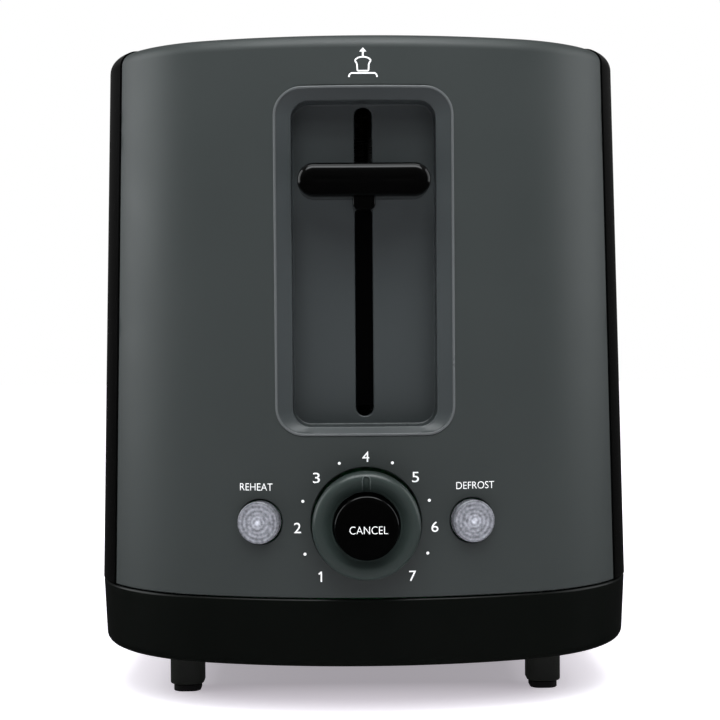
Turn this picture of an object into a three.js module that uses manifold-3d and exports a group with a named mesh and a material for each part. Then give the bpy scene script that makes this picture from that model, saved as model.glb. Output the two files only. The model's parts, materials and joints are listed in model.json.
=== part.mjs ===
// Two-slot pop-up toaster, end controls. Millimetres, +Z up, controls face -Y.
// The origin is under the middle of the toaster, on the surface it stands on.
import * as THREE from 'three';
import Module from 'manifold-3d';
import { mergeVertices } from 'three/addons/utils/BufferGeometryUtils.js';

// ---------------------------------------------------------------- dimensions
const GAP = 0.3;                  // clearance between neighbouring pieces

// outer form
const HALF_WIDTH = 80;            // half the width where body and base meet
const BODY_LENGTH = 270;          // front panel crown to rear panel crown
const BODY_TOP = 191;
const SEAM_Z = 34;                // joint between body and base
const BASE_BOTTOM = 14.6;
const BASE_BOTTOM_HALF_WIDTH = 79.05;
const DRAFT = 0.0235;             // half width lost for each mm of height
const END_RADIUS = 148;           // plan radius of the bulging ends
const CORNER_RADIUS = 48;         // plan radius of the vertical corners
const TOP_EDGE = 4;               // rounding of the top edge
const BASE_EDGE = 2.5;            // rounding of the base's bottom edge
const WALL = 2.4;
const SHELL_PROUD = 0.4;          // the shell stands proud of the end panels
const PANEL_DEPTH = 30;           // how far each end panel reaches back
const FRONT = -BODY_LENGTH / 2;   // y of the front panel's crown
const REAR = BODY_LENGTH / 2;
const CORNER_X = HALF_WIDTH - CORNER_RADIUS;
const CORNER_ANGLE = Math.asin(CORNER_X / (END_RADIUS - CORNER_RADIUS));
const CORNER_SET_BACK = END_RADIUS - (END_RADIUS - CORNER_RADIUS) * Math.cos(CORNER_ANGLE);

// feet
const FOOT_X = 54;
const FOOT_SET_BACK = 42;
const FOOT = { width: 10.8, length: 13, corner: 1.6 };
const PAD = { width: 9, length: 11, corner: 2, height: 2.2 };

// bread slots and oven
const SLOT_X = 33;                // centre of each bread slot
const SLOT_WIDTH = 34;
const SLOT_LENGTH = 150;
const SLOT_FRAME = { width: 117, length: 172, corner: 14, plate: 2.2, collar: 9, lip: 1.2 };
const OVEN_HALF_LENGTH = 79;      // y of the oven's end walls
const OVEN_HALF_WIDTH = 62;       // x of the outer reflectors
const OVEN_BOTTOM = 30;
const OVEN_TOP = 178;
const SHEET = 1;                  // sheet steel
const GUARD_OFFSET = 14.5;        // bread guard from its slot's centre
const GUARD_BOTTOM = 40;
const GUARD_TOP = 168;
const HEATER_OFFSET = 20.5;       // heater board from its slot's centre
const HEATER_BOTTOM = 46;
const HEATER_TOP = 164;

// lever, carriage and its guide
const RECESS = { width: 50.4, bottom: 79.1, top: 176.9, corner: 8, depth: 11 };
const POCKET = { width: 40.4, bottom: 81.9, top: 172.8, corner: 5 };
const LEVER_SLOT = { width: 5, bottom: 84.3, top: 172 };
const KNOB_Z = 150;
const KNOB = { width: 36.8, height: 9.4, proud: 8, back: 6, edge: 1 };
const KNOB_STEM = { width: 6.3, drop: 8.1, rise: 1.3, corner: 1.6, proud: 5, back: 8 };
const ARM = { halfWidth: 1.5, drop: 5, rise: 3 };   // the carriage's arm, about the knob's centre
const CARRIAGE_Y = FRONT + 40;
const CARRIAGE_THICKNESS = 1.6;
const CROSS_BAR = { halfWidth: 46, bottom: 86, top: 104 };
const SPINE = { halfWidth: 9, bottom: 90, rise: 8 };
const LATCH_EAR = { from: 22, to: 28, reach: 30, bottom: 115, top: 124 };
const RACK_Z = 95;                // bread rests here when the lever is up
const RACK = { halfWidth: 7, thickness: 1.4, stemHalfWidth: 1.5, stemDrop: 5, hookRise: 6 };
const ROD_Y = FRONT + 47;
const ROD_RADIUS = 2;
const ROD_TOP = 182;
const BUSH_BOTTOM = 118;
const BUSH_TOP = 138;
const LEVER_TRAVEL = 58;          // from rest down to the latch
const SPRING = { radius: 4.2, wire: 0.5, turns: 14, bottom: 19 };
const MAGNET = { left: 12, right: 38, bottom: 36, top: 58, leg: 2.5, coreLeft: 21.3, coreRight: 28.7 };
const MAGNET_COIL = { left: 16, right: 34, bottom: 40, top: 56 };
const MAGNET_FRONT = CARRIAGE_Y - 13;
const MAGNET_BACK = CARRIAGE_Y - 5;
const FLOOR_TOP = 17.3;           // what stands on the base's floor starts here

// dial, buttons and their board
const DIAL_Z = 55;
const DIAL_RADIUS = 15;
const DIAL_BORE = 9.3;
const DIAL_PROUD = 8;
const CANCEL_RADIUS = 8.9;
const CONTROL_PROUD = 12;         // the cancel button's crown, the foremost point
const BUTTON_X = 29.7;
const BUTTON_Z = 55.3;
const BUTTON_RADIUS = 6;
const BUTTON_PROUD = 2.8;
const BUTTON_ANGLE = Math.asin(BUTTON_X / END_RADIUS);
const BOARD_Y = FRONT + 21;
const SWITCH_X = 27;

// crumb tray and cord outlet
const TRAY_HALF_WIDTH = 49.5;
const TRAY_FRONT = -80;
const TRAY_BOTTOM = 17.4;
const TRAY_TOP = 26;
const OUTLET_Z = 46;
const OUTLET_BORE = 3.8;

// ------------------------------------------------------------------ materials
const finish = (color, roughness, metalness = 0) => (
  new THREE.MeshStandardMaterial({ color, roughness, metalness }));
const GREY_PANEL = finish(0x3d4140, 0.28);
const GREY_INSERT = finish(0x43484a, 0.34);
const BLACK_GLOSS = finish(0x0b0c0c, 0.15);
const BLACK_SATIN = finish(0x161818, 0.45);
const DIAL_GREY = finish(0x333a38, 0.35);
const CLEAR_GREY = finish(0x9a9ea6, 0.2);
const RUBBER = finish(0x101010, 0.85);
const STEEL = finish(0x9b9d9e, 0.35, 1);
const DARK_STEEL = finish(0x1a1a1b, 0.5, 1);
const BRIGHT_STEEL = finish(0xc4c6c8, 0.22, 1);
const MICA = finish(0x8c7a55, 0.6);
const CIRCUIT_GREEN = finish(0x1f5a34, 0.5);
const COPPER = finish(0x9a5a32, 0.4, 1);

// -------------------------------------------------------------- solid helpers
const wasm = await Module();
wasm.setup();

function solid(geometry) {
  const bare = geometry.clone();
  bare.deleteAttribute('normal');
  bare.deleteAttribute('uv');
  const merged = mergeVertices(bare, 1e-4);
  return new wasm.Manifold(new wasm.Mesh({
    numProp: 3,
    vertProperties: new Float32Array(merged.attributes.position.array),
    triVerts: new Uint32Array(merged.index.array),
  }));
}

function geometryOf(manifold) {
  const mesh = manifold.getMesh();
  const geometry = new THREE.BufferGeometry();
  geometry.setAttribute('position', new THREE.BufferAttribute(new Float32Array(mesh.vertProperties), 3));
  geometry.setIndex(new THREE.BufferAttribute(new Uint32Array(mesh.triVerts), 1));
  const flat = geometry.toNonIndexed();
  flat.computeVertexNormals();
  return flat;
}

const cut = (body, ...tools) => tools.reduce((left, tool) => left.subtract(tool), body);
const join = (body, ...others) => others.reduce((sum, other) => sum.add(other), body);

function block(x0, x1, y0, y1, z0, z1) {
  const geometry = new THREE.BoxGeometry(x1 - x0, y1 - y0, z1 - z0);
  return solid(geometry.translate((x0 + x1) / 2, (y0 + y1) / 2, (z0 + z1) / 2));
}

function roundedRectangle(width, height, radius, centreX = 0, centreY = 0) {
  const x = width / 2 - radius;
  const y = height / 2 - radius;
  const shape = new THREE.Shape();
  shape.absarc(centreX + x, centreY - y, radius, -Math.PI / 2, 0);
  shape.absarc(centreX + x, centreY + y, radius, 0, Math.PI / 2);
  shape.absarc(centreX - x, centreY + y, radius, Math.PI / 2, Math.PI);
  shape.absarc(centreX - x, centreY - y, radius, Math.PI, Math.PI * 1.5);
  return shape;
}

// a bar with round ends, lying or standing
function stadium(width, height, centreX, centreY) {
  const radius = Math.min(width, height) / 2;
  const x = width / 2 - radius;
  const y = height / 2 - radius;
  const start = width > height ? -Math.PI / 2 : 0;
  const shape = new THREE.Shape();
  shape.absarc(centreX + x, centreY + y, radius, start, start + Math.PI);
  shape.absarc(centreX - x, centreY - y, radius, start + Math.PI, start + 2 * Math.PI);
  return shape;
}

// a shape drawn in plan, pulled up from z0 to z1
function pulledUp(shape, z0, z1, curveSegments = 6) {
  const geometry = new THREE.ExtrudeGeometry(shape, { depth: z1 - z0, bevelEnabled: false, curveSegments });
  return solid(geometry.translate(0, 0, z0));
}

// a shape drawn as seen from the front, pulled back from y0 to y1
function pulledBack(shape, y0, y1, curveSegments = 6) {
  const geometry = new THREE.ExtrudeGeometry(shape, { depth: y1 - y0, bevelEnabled: false, curveSegments });
  return solid(geometry.rotateX(Math.PI / 2).translate(0, y1, 0));
}

function rod(radius, z0, z1, x, y, segments = 16) {
  const geometry = new THREE.CylinderGeometry(radius, radius, z1 - z0, segments);
  return solid(geometry.rotateX(Math.PI / 2).translate(x, y, (z0 + z1) / 2));
}

function rodAlongY(radius, y0, y1, x, z, segments = 24) {
  const geometry = new THREE.CylinderGeometry(radius, radius, y1 - y0, segments);
  return solid(geometry.translate(x, (y0 + y1) / 2, z));
}

// [radius, distance] points turned about the axis: Y as drawn, the closed outline runs anticlockwise
function turned(points, segments) {
  return new THREE.LatheGeometry(points.map(([r, y]) => new THREE.Vector2(r, y)), segments);
}

const group = new THREE.Group();

function place(name, geometry, material) {
  const mesh = new THREE.Mesh(geometry, material);
  mesh.name = name;
  group.add(mesh);
  return mesh;
}

const placeSolid = (name, manifold, material) => place(name, geometryOf(manifold), material);

// ----------------------------------------------------------------- outer form
function bodyOutline(inset) {
  const shape = new THREE.Shape();
  const corner = CORNER_RADIUS - inset;
  const end = END_RADIUS - inset;
  const turn = Math.PI / 2;
  const frontY = FRONT + CORNER_SET_BACK;
  const rearY = REAR - CORNER_SET_BACK;
  shape.absarc(CORNER_X, rearY, corner, 0, turn - CORNER_ANGLE);
  shape.absarc(0, REAR - END_RADIUS, end, turn - CORNER_ANGLE, turn + CORNER_ANGLE);
  shape.absarc(-CORNER_X, rearY, corner, turn + CORNER_ANGLE, Math.PI);
  shape.absarc(-CORNER_X, frontY, corner, Math.PI, 3 * turn - CORNER_ANGLE);
  shape.absarc(0, FRONT + END_RADIUS, end, 3 * turn - CORNER_ANGLE, 3 * turn + CORNER_ANGLE);
  shape.absarc(CORNER_X, frontY, corner, 3 * turn + CORNER_ANGLE, 4 * turn);
  return shape;
}

// the outline pulled from z0 to z1 with both edges rounded, narrowing as widthAt says
function roundedForm(inset, z0, z1, edge, widthAt) {
  const geometry = new THREE.ExtrudeGeometry(bodyOutline(inset), {
    depth: z1 - z0 - 2 * edge,
    bevelThickness: edge,
    bevelSize: edge,
    bevelOffset: -edge,
    bevelSegments: 3,
    curveSegments: 6,
  });
  geometry.translate(0, 0, z0 + edge);
  const position = geometry.attributes.position;
  for (let i = 0; i < position.count; i += 1) {
    position.setX(i, position.getX(i) * widthAt(position.getZ(i)) / HALF_WIDTH);
  }
  return solid(geometry);
}

const bodyWidthAt = z => HALF_WIDTH - DRAFT * (z - SEAM_Z);
const baseDraft = (HALF_WIDTH - BASE_BOTTOM_HALF_WIDTH) / (SEAM_Z - BASE_BOTTOM);
const baseWidthAt = z => HALF_WIDTH + baseDraft * (z - SEAM_Z);
const FAR = 400;

function bodyForm(inset, top, edge) {
  const bottom = SEAM_Z + GAP / 2;
  const whole = roundedForm(inset, bottom - 2 * TOP_EDGE, top, edge, bodyWidthAt);
  return cut(whole, block(-FAR, FAR, -FAR, FAR, -FAR, bottom));
}

function baseForm(inset, bottom, edge) {
  const top = SEAM_Z - GAP / 2;
  const whole = roundedForm(inset, bottom, top + 2 * BASE_EDGE, edge, baseWidthAt);
  return cut(whole, block(-FAR, FAR, -FAR, FAR, top, FAR));
}

const outerBody = bodyForm(0, BODY_TOP, TOP_EDGE);
const innerBody = bodyForm(WALL, BODY_TOP - WALL, TOP_EDGE - WALL);
const openBottom = block(-FAR, FAR, -FAR, FAR, SEAM_Z - 1, SEAM_Z + 1);

function bodySkin(outer) {
  return cut(outer, innerBody, openBottom.intersect(innerBody));
}

function frontToRear(y0, y1) {
  return block(-FAR, FAR, y0, y1, -FAR, FAR);
}

// ---------------------------------------------------------------- outer cases
function buttonHole(side) {
  const hole = new THREE.CylinderGeometry(BUTTON_RADIUS + 0.4, BUTTON_RADIUS + 0.4, 30, 28);
  hole.rotateZ(side * BUTTON_ANGLE);
  return solid(hole.translate(...buttonCentre(side)));
}

function buttonCentre(side) {
  return [side * BUTTON_X, FRONT + END_RADIUS * (1 - Math.cos(BUTTON_ANGLE)), BUTTON_Z];
}

function addFrontPanel() {
  const skin = bodySkin(outerBody).intersect(frontToRear(-FAR, FRONT + PANEL_DEPTH - GAP / 2));
  const height = RECESS.top - RECESS.bottom;
  const window = roundedRectangle(RECESS.width, height, RECESS.corner, 0, RECESS.bottom + height / 2);
  const holes = [
    pulledBack(window, FRONT - 5, FRONT + 20),
    rodAlongY(DIAL_RADIUS + 0.6, FRONT - 5, FRONT + 20, 0, DIAL_Z, 36),
    buttonHole(-1),
    buttonHole(1),
  ];
  placeSolid('front_panel', cut(skin, ...holes), GREY_PANEL);
}

function addRearPanel() {
  const skin = bodySkin(outerBody).intersect(frontToRear(REAR - PANEL_DEPTH + GAP / 2, FAR));
  const outlet = rodAlongY(6, REAR - 20, REAR + 5, 0, OUTLET_Z);
  placeSolid('rear_panel', cut(skin, outlet), GREY_PANEL);
}

function addBodyShell() {
  const proud = bodyForm(-SHELL_PROUD, BODY_TOP + SHELL_PROUD, TOP_EDGE);
  const middle = frontToRear(FRONT + PANEL_DEPTH + GAP / 2, REAR - PANEL_DEPTH - GAP / 2);
  const { width, length, corner } = SLOT_FRAME;
  const window = pulledUp(roundedRectangle(width + 0.6, length + 0.6, corner + 0.3), 150, 210);
  placeSolid('body_shell', cut(bodySkin(proud).intersect(middle), window), BLACK_GLOSS);
}

// the plate round the bread slots, with a collar hanging down round each
function addSlotFrame() {
  const { width, length, corner, plate, collar, lip } = SLOT_FRAME;
  const top = BODY_TOP + SHELL_PROUD;
  const sheet = pulledUp(roundedRectangle(width, length, corner), top - plate, top);
  const collars = [];
  const slots = [];
  for (const side of [-1, 1]) {
    const outer = roundedRectangle(SLOT_WIDTH + 2 * lip, SLOT_LENGTH + 2 * lip, 7, side * SLOT_X, 0);
    const inner = roundedRectangle(SLOT_WIDTH, SLOT_LENGTH, 6, side * SLOT_X, 0);
    collars.push(pulledUp(outer, top - collar, top - plate / 2, 4));
    slots.push(pulledUp(inner, top - collar - 1, top + 1, 4));
  }
  placeSolid('slot_frame', cut(join(sheet, ...collars), ...slots), BLACK_SATIN);
}

function addBase() {
  const outer = baseForm(-GAP, BASE_BOTTOM, BASE_EDGE);
  const inner = baseForm(WALL, BASE_BOTTOM + WALL, 1);
  const mouth = block(-TRAY_HALF_WIDTH - 1.5, TRAY_HALF_WIDTH + 1.5, REAR - 30, REAR + 5,
    TRAY_BOTTOM - GAP, TRAY_TOP + 1);
  const openings = [inner, mouth];
  for (const x of [-58, 58]) {
    for (const y of [-OVEN_HALF_LENGTH, OVEN_HALF_LENGTH]) {
      openings.push(rod(2, BASE_BOTTOM - 1, BASE_BOTTOM + 5, x, y, 12));
    }
  }
  placeSolid('base', cut(outer, ...openings), BLACK_GLOSS);
}

function eachCorner(make) {
  for (const [end, y] of [['front', FRONT + FOOT_SET_BACK], ['rear', REAR - FOOT_SET_BACK]]) {
    make(`${end}_left`, -FOOT_X, y);
    make(`${end}_right`, FOOT_X, y);
  }
}

// square legs, each on a smaller rubber pad
function addFeet() {
  const legShape = roundedRectangle(FOOT.width, FOOT.length, FOOT.corner);
  const padShape = roundedRectangle(PAD.width, PAD.length, PAD.corner);
  const leg = geometryOf(pulledUp(legShape, PAD.height, BASE_BOTTOM - GAP, 4));
  const pad = geometryOf(pulledUp(padShape, 0, PAD.height - GAP, 4));
  eachCorner((corner, x, y) => {
    place(`foot_${corner}`, leg, BLACK_SATIN).position.set(x, y, 0);
    place(`foot_pad_${corner}`, pad, RUBBER).position.set(x, y, 0);
  });
}

function addBaseScrews() {
  const headTop = BASE_BOTTOM - GAP;
  const screw = turned([[0, headTop - 1.8], [2.6, headTop - 1.8], [3.4, headTop - 1], [3.4, headTop],
    [1.6, headTop], [1.6, BASE_BOTTOM + 2.2], [0, BASE_BOTTOM + 2.2]], 12);
  screw.rotateX(Math.PI / 2);
  for (const [end, y] of [['front', -OVEN_HALF_LENGTH], ['rear', OVEN_HALF_LENGTH]]) {
    place(`base_screw_${end}_left`, screw, STEEL).position.set(-58, y, 0);
    place(`base_screw_${end}_right`, screw, STEEL).position.set(58, y, 0);
  }
}

// a flat pan behind a piece of the base's own rear wall
function addCrumbTray() {
  const w = TRAY_HALF_WIDTH;
  const inside = baseForm(WALL - 0.4, BASE_BOTTOM, 0.5);
  const pan = cut(
    block(-w, w, TRAY_FRONT, REAR + 5, TRAY_BOTTOM, TRAY_TOP - 1),
    block(1.2 - w, w - 1.2, TRAY_FRONT + 1.2, REAR - 16, TRAY_BOTTOM + 1.2, TRAY_TOP),
  ).intersect(inside);
  const door = baseForm(-GAP, BASE_BOTTOM, BASE_EDGE)
    .subtract(baseForm(WALL, BASE_BOTTOM, 0.5))
    .intersect(block(-w - 1.2, w + 1.2, REAR - 30, REAR + 5, TRAY_BOTTOM, TRAY_TOP + 0.7));
  const grip = block(-16, 16, REAR - 1, REAR + 3.5, 20.5, 23.5);
  placeSolid('crumb_tray', join(pan, door, grip), BLACK_SATIN);
}

function addCordOutlet() {
  const b = OUTLET_BORE;
  const ring = turned([[b, REAR - 7], [8.5, REAR - 7], [8.5, REAR - 3.6], [5.7, REAR - 3.6],
    [5.7, REAR + GAP], [9, REAR + GAP], [9, REAR + 3], [6.8, REAR + CONTROL_PROUD],
    [b, REAR + CONTROL_PROUD], [b, REAR - 7]], 20);
  place('cord_outlet', ring, BLACK_SATIN).position.z = OUTLET_Z;
}

// ------------------------------------------------------------- lever and lift
const recessCentreZ = (RECESS.bottom + RECESS.top) / 2;
const pocketCentreZ = (POCKET.bottom + POCKET.top) / 2;

// the insert that the lever runs in: a sloping band round a flat-floored pocket
function addLeverBezel() {
  const floorY = FRONT + RECESS.depth;
  const flange = roundedRectangle(RECESS.width - 0.6, RECESS.top - RECESS.bottom - 0.6,
    RECESS.corner - 0.3, 0, recessCentreZ);
  const rear = roundedRectangle(POCKET.width + 3.6, POCKET.top - POCKET.bottom + 3.6,
    POCKET.corner + 1.8, 0, pocketCentreZ);
  const front = pulledBack(flange, FRONT - 5, FRONT + 6).intersect(outerBody);
  const pocket = roundedRectangle(POCKET.width, POCKET.top - POCKET.bottom, POCKET.corner, 0, pocketCentreZ);
  const slot = stadium(LEVER_SLOT.width, LEVER_SLOT.top - LEVER_SLOT.bottom,
    0, (LEVER_SLOT.top + LEVER_SLOT.bottom) / 2);
  placeSolid('lever_bezel', cut(
    join(front, pulledBack(rear, FRONT + 5, floorY + 2)),
    pulledBack(pocket, FRONT - 6, floorY),
    slopingBand(),
    pulledBack(slot, floorY - 1, floorY + 3),
  ), GREY_INSERT);
}

// a shallow funnel that opens the pocket's mouth out to the bezel's edge
function slopingBand() {
  const mouth = roundedRectangle(POCKET.width + 7.6, RECESS.top - RECESS.bottom - 3, RECESS.corner - 1.5,
    0, recessCentreZ);
  const depth = 4.4;
  const geometry = new THREE.ExtrudeGeometry(mouth, {
    depth: 6,
    bevelThickness: depth,
    bevelSize: 3.8,
    bevelOffset: -3.8,
    bevelSegments: 1,
    curveSegments: 6,
  });
  geometry.rotateX(Math.PI / 2);
  return solid(geometry.translate(0, FRONT + 0.4, 0));
}

function addLeverKnob() {
  const { width, height, proud, back, edge } = KNOB;
  const bar = new THREE.ExtrudeGeometry(stadium(width, height, 0, KNOB_Z), {
    depth: proud + back - 2 * edge,
    bevelThickness: edge,
    bevelSize: edge,
    bevelOffset: -edge,
    bevelSegments: 2,
    curveSegments: 7,
  });
  bar.rotateX(Math.PI / 2).translate(0, FRONT + back - edge, 0);
  const { drop, rise, corner } = KNOB_STEM;
  const stemShape = roundedRectangle(KNOB_STEM.width, drop + rise, corner, 0, KNOB_Z + (rise - drop) / 2);
  const stem = pulledBack(stemShape, FRONT - KNOB_STEM.proud, FRONT + KNOB_STEM.back, 3);
  const socketHalf = ARM.halfWidth + GAP;
  const socket = block(-socketHalf, socketHalf, FRONT - 1, FRONT + KNOB_STEM.back + 1,
    KNOB_Z - ARM.drop - GAP, KNOB_Z + ARM.rise + GAP);
  placeSolid('lever_knob', cut(join(solid(bar), stem), socket), BLACK_GLOSS);
}

// one bent steel plate: lever arm, guide bush, latch ear and the cross bar for the racks
function addCarriage() {
  const y0 = CARRIAGE_Y - CARRIAGE_THICKNESS / 2;
  const y1 = CARRIAGE_Y + CARRIAGE_THICKNESS / 2;
  const plate = join(
    block(-CROSS_BAR.halfWidth, CROSS_BAR.halfWidth, y0, y1, CROSS_BAR.bottom, CROSS_BAR.top),
    block(-SPINE.halfWidth, SPINE.halfWidth, y0, y1, SPINE.bottom, KNOB_Z + SPINE.rise),
    block(SPINE.halfWidth - 4, LATCH_EAR.reach, y0, y1, LATCH_EAR.bottom, LATCH_EAR.top),
    block(LATCH_EAR.from, LATCH_EAR.to, MAGNET_BACK + GAP, y1, LATCH_EAR.bottom, LATCH_EAR.top),
    block(-ARM.halfWidth, ARM.halfWidth, FRONT - 0.5, y1, KNOB_Z - ARM.drop, KNOB_Z + ARM.rise),
    block(-2 * ROD_RADIUS + 1, 2 * ROD_RADIUS - 1, y1 - 1, ROD_Y, BUSH_BOTTOM, BUSH_TOP),
    rod(2 * ROD_RADIUS, BUSH_BOTTOM, BUSH_TOP, 0, ROD_Y, 20),
  );
  const bore = rod(ROD_RADIUS + GAP, BUSH_BOTTOM - 1, BUSH_TOP + 1, 0, ROD_Y, 20);
  placeSolid('carriage', cut(plate, bore), DARK_STEEL);
}

function addGuide() {
  placeSolid('guide_rod', rod(ROD_RADIUS, FLOOR_TOP, ROD_TOP, 0, ROD_Y), BRIGHT_STEEL);
  const bracket = join(
    block(-12, 12, ROD_Y - 5, -OVEN_HALF_LENGTH - 0.8, 179, 180.5),
    block(-12, 12, -OVEN_HALF_LENGTH - 2.3, -OVEN_HALF_LENGTH - 0.8, 168, 180.5),
  );
  placeSolid('rod_bracket', cut(bracket, rod(ROD_RADIUS + GAP, 170, 190, 0, ROD_Y, 20)), STEEL);
}

class Helix extends THREE.Curve {
  getPoint(t, target = new THREE.Vector3()) {
    const angle = t * SPRING.turns * 2 * Math.PI;
    const low = SPRING.bottom + SPRING.wire;
    const high = BUSH_BOTTOM - GAP - SPRING.wire;
    return target.set(SPRING.radius * Math.cos(angle), SPRING.radius * Math.sin(angle), low + (high - low) * t);
  }
}

function circle(radius) {
  const shape = new THREE.Shape();
  shape.absarc(0, 0, radius, 0, 2 * Math.PI);
  return shape;
}

function addLiftSpring() {
  const coil = new THREE.ExtrudeGeometry(circle(SPRING.wire), {
    steps: SPRING.turns * 8,
    curveSegments: 2.5,
    extrudePath: new Helix(),
  });
  place('lift_spring', coil, STEEL).position.y = ROD_Y;
}

function addBreadRack(name, x) {
  const length = OVEN_HALF_LENGTH - 4;
  const tabY = CARRIAGE_Y + CARRIAGE_THICKNESS / 2 + GAP;
  const { halfWidth, thickness, stemHalfWidth, stemDrop, hookRise } = RACK;
  const rack = join(
    block(x - halfWidth, x + halfWidth, -length, length, RACK_Z, RACK_Z + thickness),
    block(x - stemHalfWidth, x + stemHalfWidth, tabY, OVEN_HALF_LENGTH + 4, RACK_Z - stemDrop, RACK_Z + thickness / 2),
    block(x - halfWidth + 2, x + halfWidth - 2, tabY, tabY + thickness, RACK_Z - stemDrop, RACK_Z + hookRise),
  );
  const notches = [];
  for (let y = -60; y <= 60; y += 20) {
    notches.push(block(x - 5, x - 2.5, y - 7, y + 7, RACK_Z - 1, RACK_Z + 3));
    notches.push(block(x + 2.5, x + 5, y - 7, y + 7, RACK_Z - 1, RACK_Z + 3));
  }
  placeSolid(name, cut(rack, ...notches), STEEL);
}

// the armature lands on the magnet's three poles when the lever is down
function addLatch() {
  const { left, right, bottom, top, leg, coreLeft, coreRight } = MAGNET;
  const armatureZ = top + GAP + LEVER_TRAVEL;
  placeSolid('latch_armature', block(left, right, MAGNET_FRONT, MAGNET_BACK, armatureZ, armatureZ + 3), STEEL);
  const y0 = MAGNET_FRONT + 1;
  const y1 = MAGNET_BACK - 1;
  const core = join(
    block(coreLeft, coreRight, y0, y1, bottom + 1, top),
    block(left, right, y0, y1, bottom, bottom + leg + 1),
    block(left, left + leg, y0, y1, bottom, top),
    block(right - leg, right, y0, y1, bottom, top),
    block(coreLeft - 1, coreRight + 1, y0 + 1, y0 + 2.6, FLOOR_TOP, bottom + 2),
  );
  placeSolid('magnet_core', core, STEEL);
  const coil = cut(
    block(MAGNET_COIL.left, MAGNET_COIL.right, y0 - 2, y1 + 2, MAGNET_COIL.bottom, MAGNET_COIL.top),
    block(coreLeft - GAP, coreRight + GAP, y0 - GAP, y1 + GAP, bottom, top + 1),
  );
  placeSolid('magnet_coil', coil, COPPER);
}

// ----------------------------------------------------------------------- oven
function addOvenWall(name, y) {
  const wall = join(
    block(-63, 63, y - SHEET / 2, y + SHEET / 2, OVEN_BOTTOM, OVEN_TOP + 4),
    block(-63, -53, y - SHEET / 2, y + SHEET / 2, FLOOR_TOP, OVEN_BOTTOM + 1),
    block(53, 63, y - SHEET / 2, y + SHEET / 2, FLOOR_TOP, OVEN_BOTTOM + 1),
  );
  const ways = [-SLOT_X, SLOT_X].map(x => block(x - 4, x + 4, y - 2, y + 2, 30.5, 120));
  placeSolid(name, cut(wall, ...ways), BRIGHT_STEEL);
}

function addReflector(name, side) {
  const x = side * OVEN_HALF_WIDTH;
  const length = OVEN_HALF_LENGTH - SHEET / 2 - GAP;
  const lip = x - side * 6;
  const sheet = join(
    block(x - SHEET / 2, x + SHEET / 2, -length, length, OVEN_BOTTOM, OVEN_TOP),
    block(Math.min(x, lip), Math.max(x, lip), -length, length, OVEN_TOP - SHEET, OVEN_TOP),
    block(Math.min(x, lip), Math.max(x, lip), -length, length, OVEN_BOTTOM, OVEN_BOTTOM + SHEET),
  );
  placeSolid(name, sheet, BRIGHT_STEEL);
}

// a mica board with its heating ribbon wound across the bread side
function addHeater(name, x, breadSide) {
  const board = block(x - 0.6, x + 0.6, -72, 72, HEATER_BOTTOM, HEATER_TOP);
  const ribbons = [];
  const ribbonX = x + breadSide * 0.8;
  for (let z = HEATER_BOTTOM + 12; z < HEATER_TOP - 8; z += 14) {
    ribbons.push(block(ribbonX - 0.5, ribbonX + 0.5, -68, 68, z, z + 1.6));
  }
  placeSolid(name, join(board, ...ribbons), MICA);
}

// a pressed grid that leans in on the bread as the lever goes down
function addBreadGuard(name, x) {
  const sheet = block(x - 0.6, x + 0.6, -71, 71, GUARD_BOTTOM, GUARD_TOP);
  const windows = [];
  for (let y = -60; y <= 60; y += 15) {
    windows.push(block(x - 1, x + 1, y - 6.4, y + 6.4, GUARD_BOTTOM + 5, GUARD_TOP - 4));
  }
  placeSolid(name, cut(sheet, ...windows), BRIGHT_STEEL);
}

function addOven() {
  addOvenWall('oven_front_wall', -OVEN_HALF_LENGTH);
  addOvenWall('oven_rear_wall', OVEN_HALF_LENGTH);
  for (const [name, side] of [['left', -1], ['right', 1]]) {
    const centre = side * SLOT_X;
    addReflector(`${name}_reflector`, side);
    addBreadRack(`bread_rack_${name}`, centre);
    addHeater(`heater_${name}_outer`, centre + side * HEATER_OFFSET, -side);
    addHeater(`heater_${name}_inner`, centre - side * HEATER_OFFSET, side);
    addBreadGuard(`bread_guard_${name}_outer`, centre + side * GUARD_OFFSET);
    addBreadGuard(`bread_guard_${name}_inner`, centre - side * GUARD_OFFSET);
  }
}

// ------------------------------------------------------------------- controls
function addDial() {
  const front = FRONT - DIAL_PROUD;
  const ring = turned([[DIAL_BORE, FRONT + 15], [DIAL_BORE, front + 1.2], [10.6, front + 0.5], [12.2, front],
    [13.9, front + 0.3], [14.8, front + 1.3], [DIAL_RADIUS, front + 3], [DIAL_RADIUS, FRONT + 5],
    [11.6, FRONT + 5], [11.6, FRONT + 15], [DIAL_BORE, FRONT + 15]], 32);
  const pointer = block(-0.5, 0.5, front - 1, front + 0.8, DIAL_Z + 10.5, DIAL_Z + 14.6);
  const body = solid(ring.translate(0, 0, DIAL_Z));
  placeSolid('dial', cut(body, pointer), DIAL_GREY);
}

function addCancelButton() {
  const front = FRONT - CONTROL_PROUD;
  const button = turned([[0, front], [4, front + 0.2], [7, front + 0.6], [8.4, front + 1.2],
    [CANCEL_RADIUS, front + 2.2], [CANCEL_RADIUS, FRONT + 8], [2.5, FRONT + 8], [2.5, BOARD_Y - 7.1],
    [0, BOARD_Y - 7.1]], 28);
  place('cancel_button', button, BLACK_GLOSS).position.z = DIAL_Z;
}

function addPushButton(name, side) {
  const button = turned([[0, -BUTTON_PROUD], [3, 0.1 - BUTTON_PROUD], [5, 0.5 - BUTTON_PROUD],
    [BUTTON_RADIUS, 1.4 - BUTTON_PROUD], [BUTTON_RADIUS, 3.6],
    [7.2, 3.6], [7.2, 5.2], [2, 5.2], [2, 11], [0, 11]], 24);
  const mesh = place(name, button, CLEAR_GREY);
  mesh.position.set(...buttonCentre(side));
  mesh.rotation.z = side * BUTTON_ANGLE;
}

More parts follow.
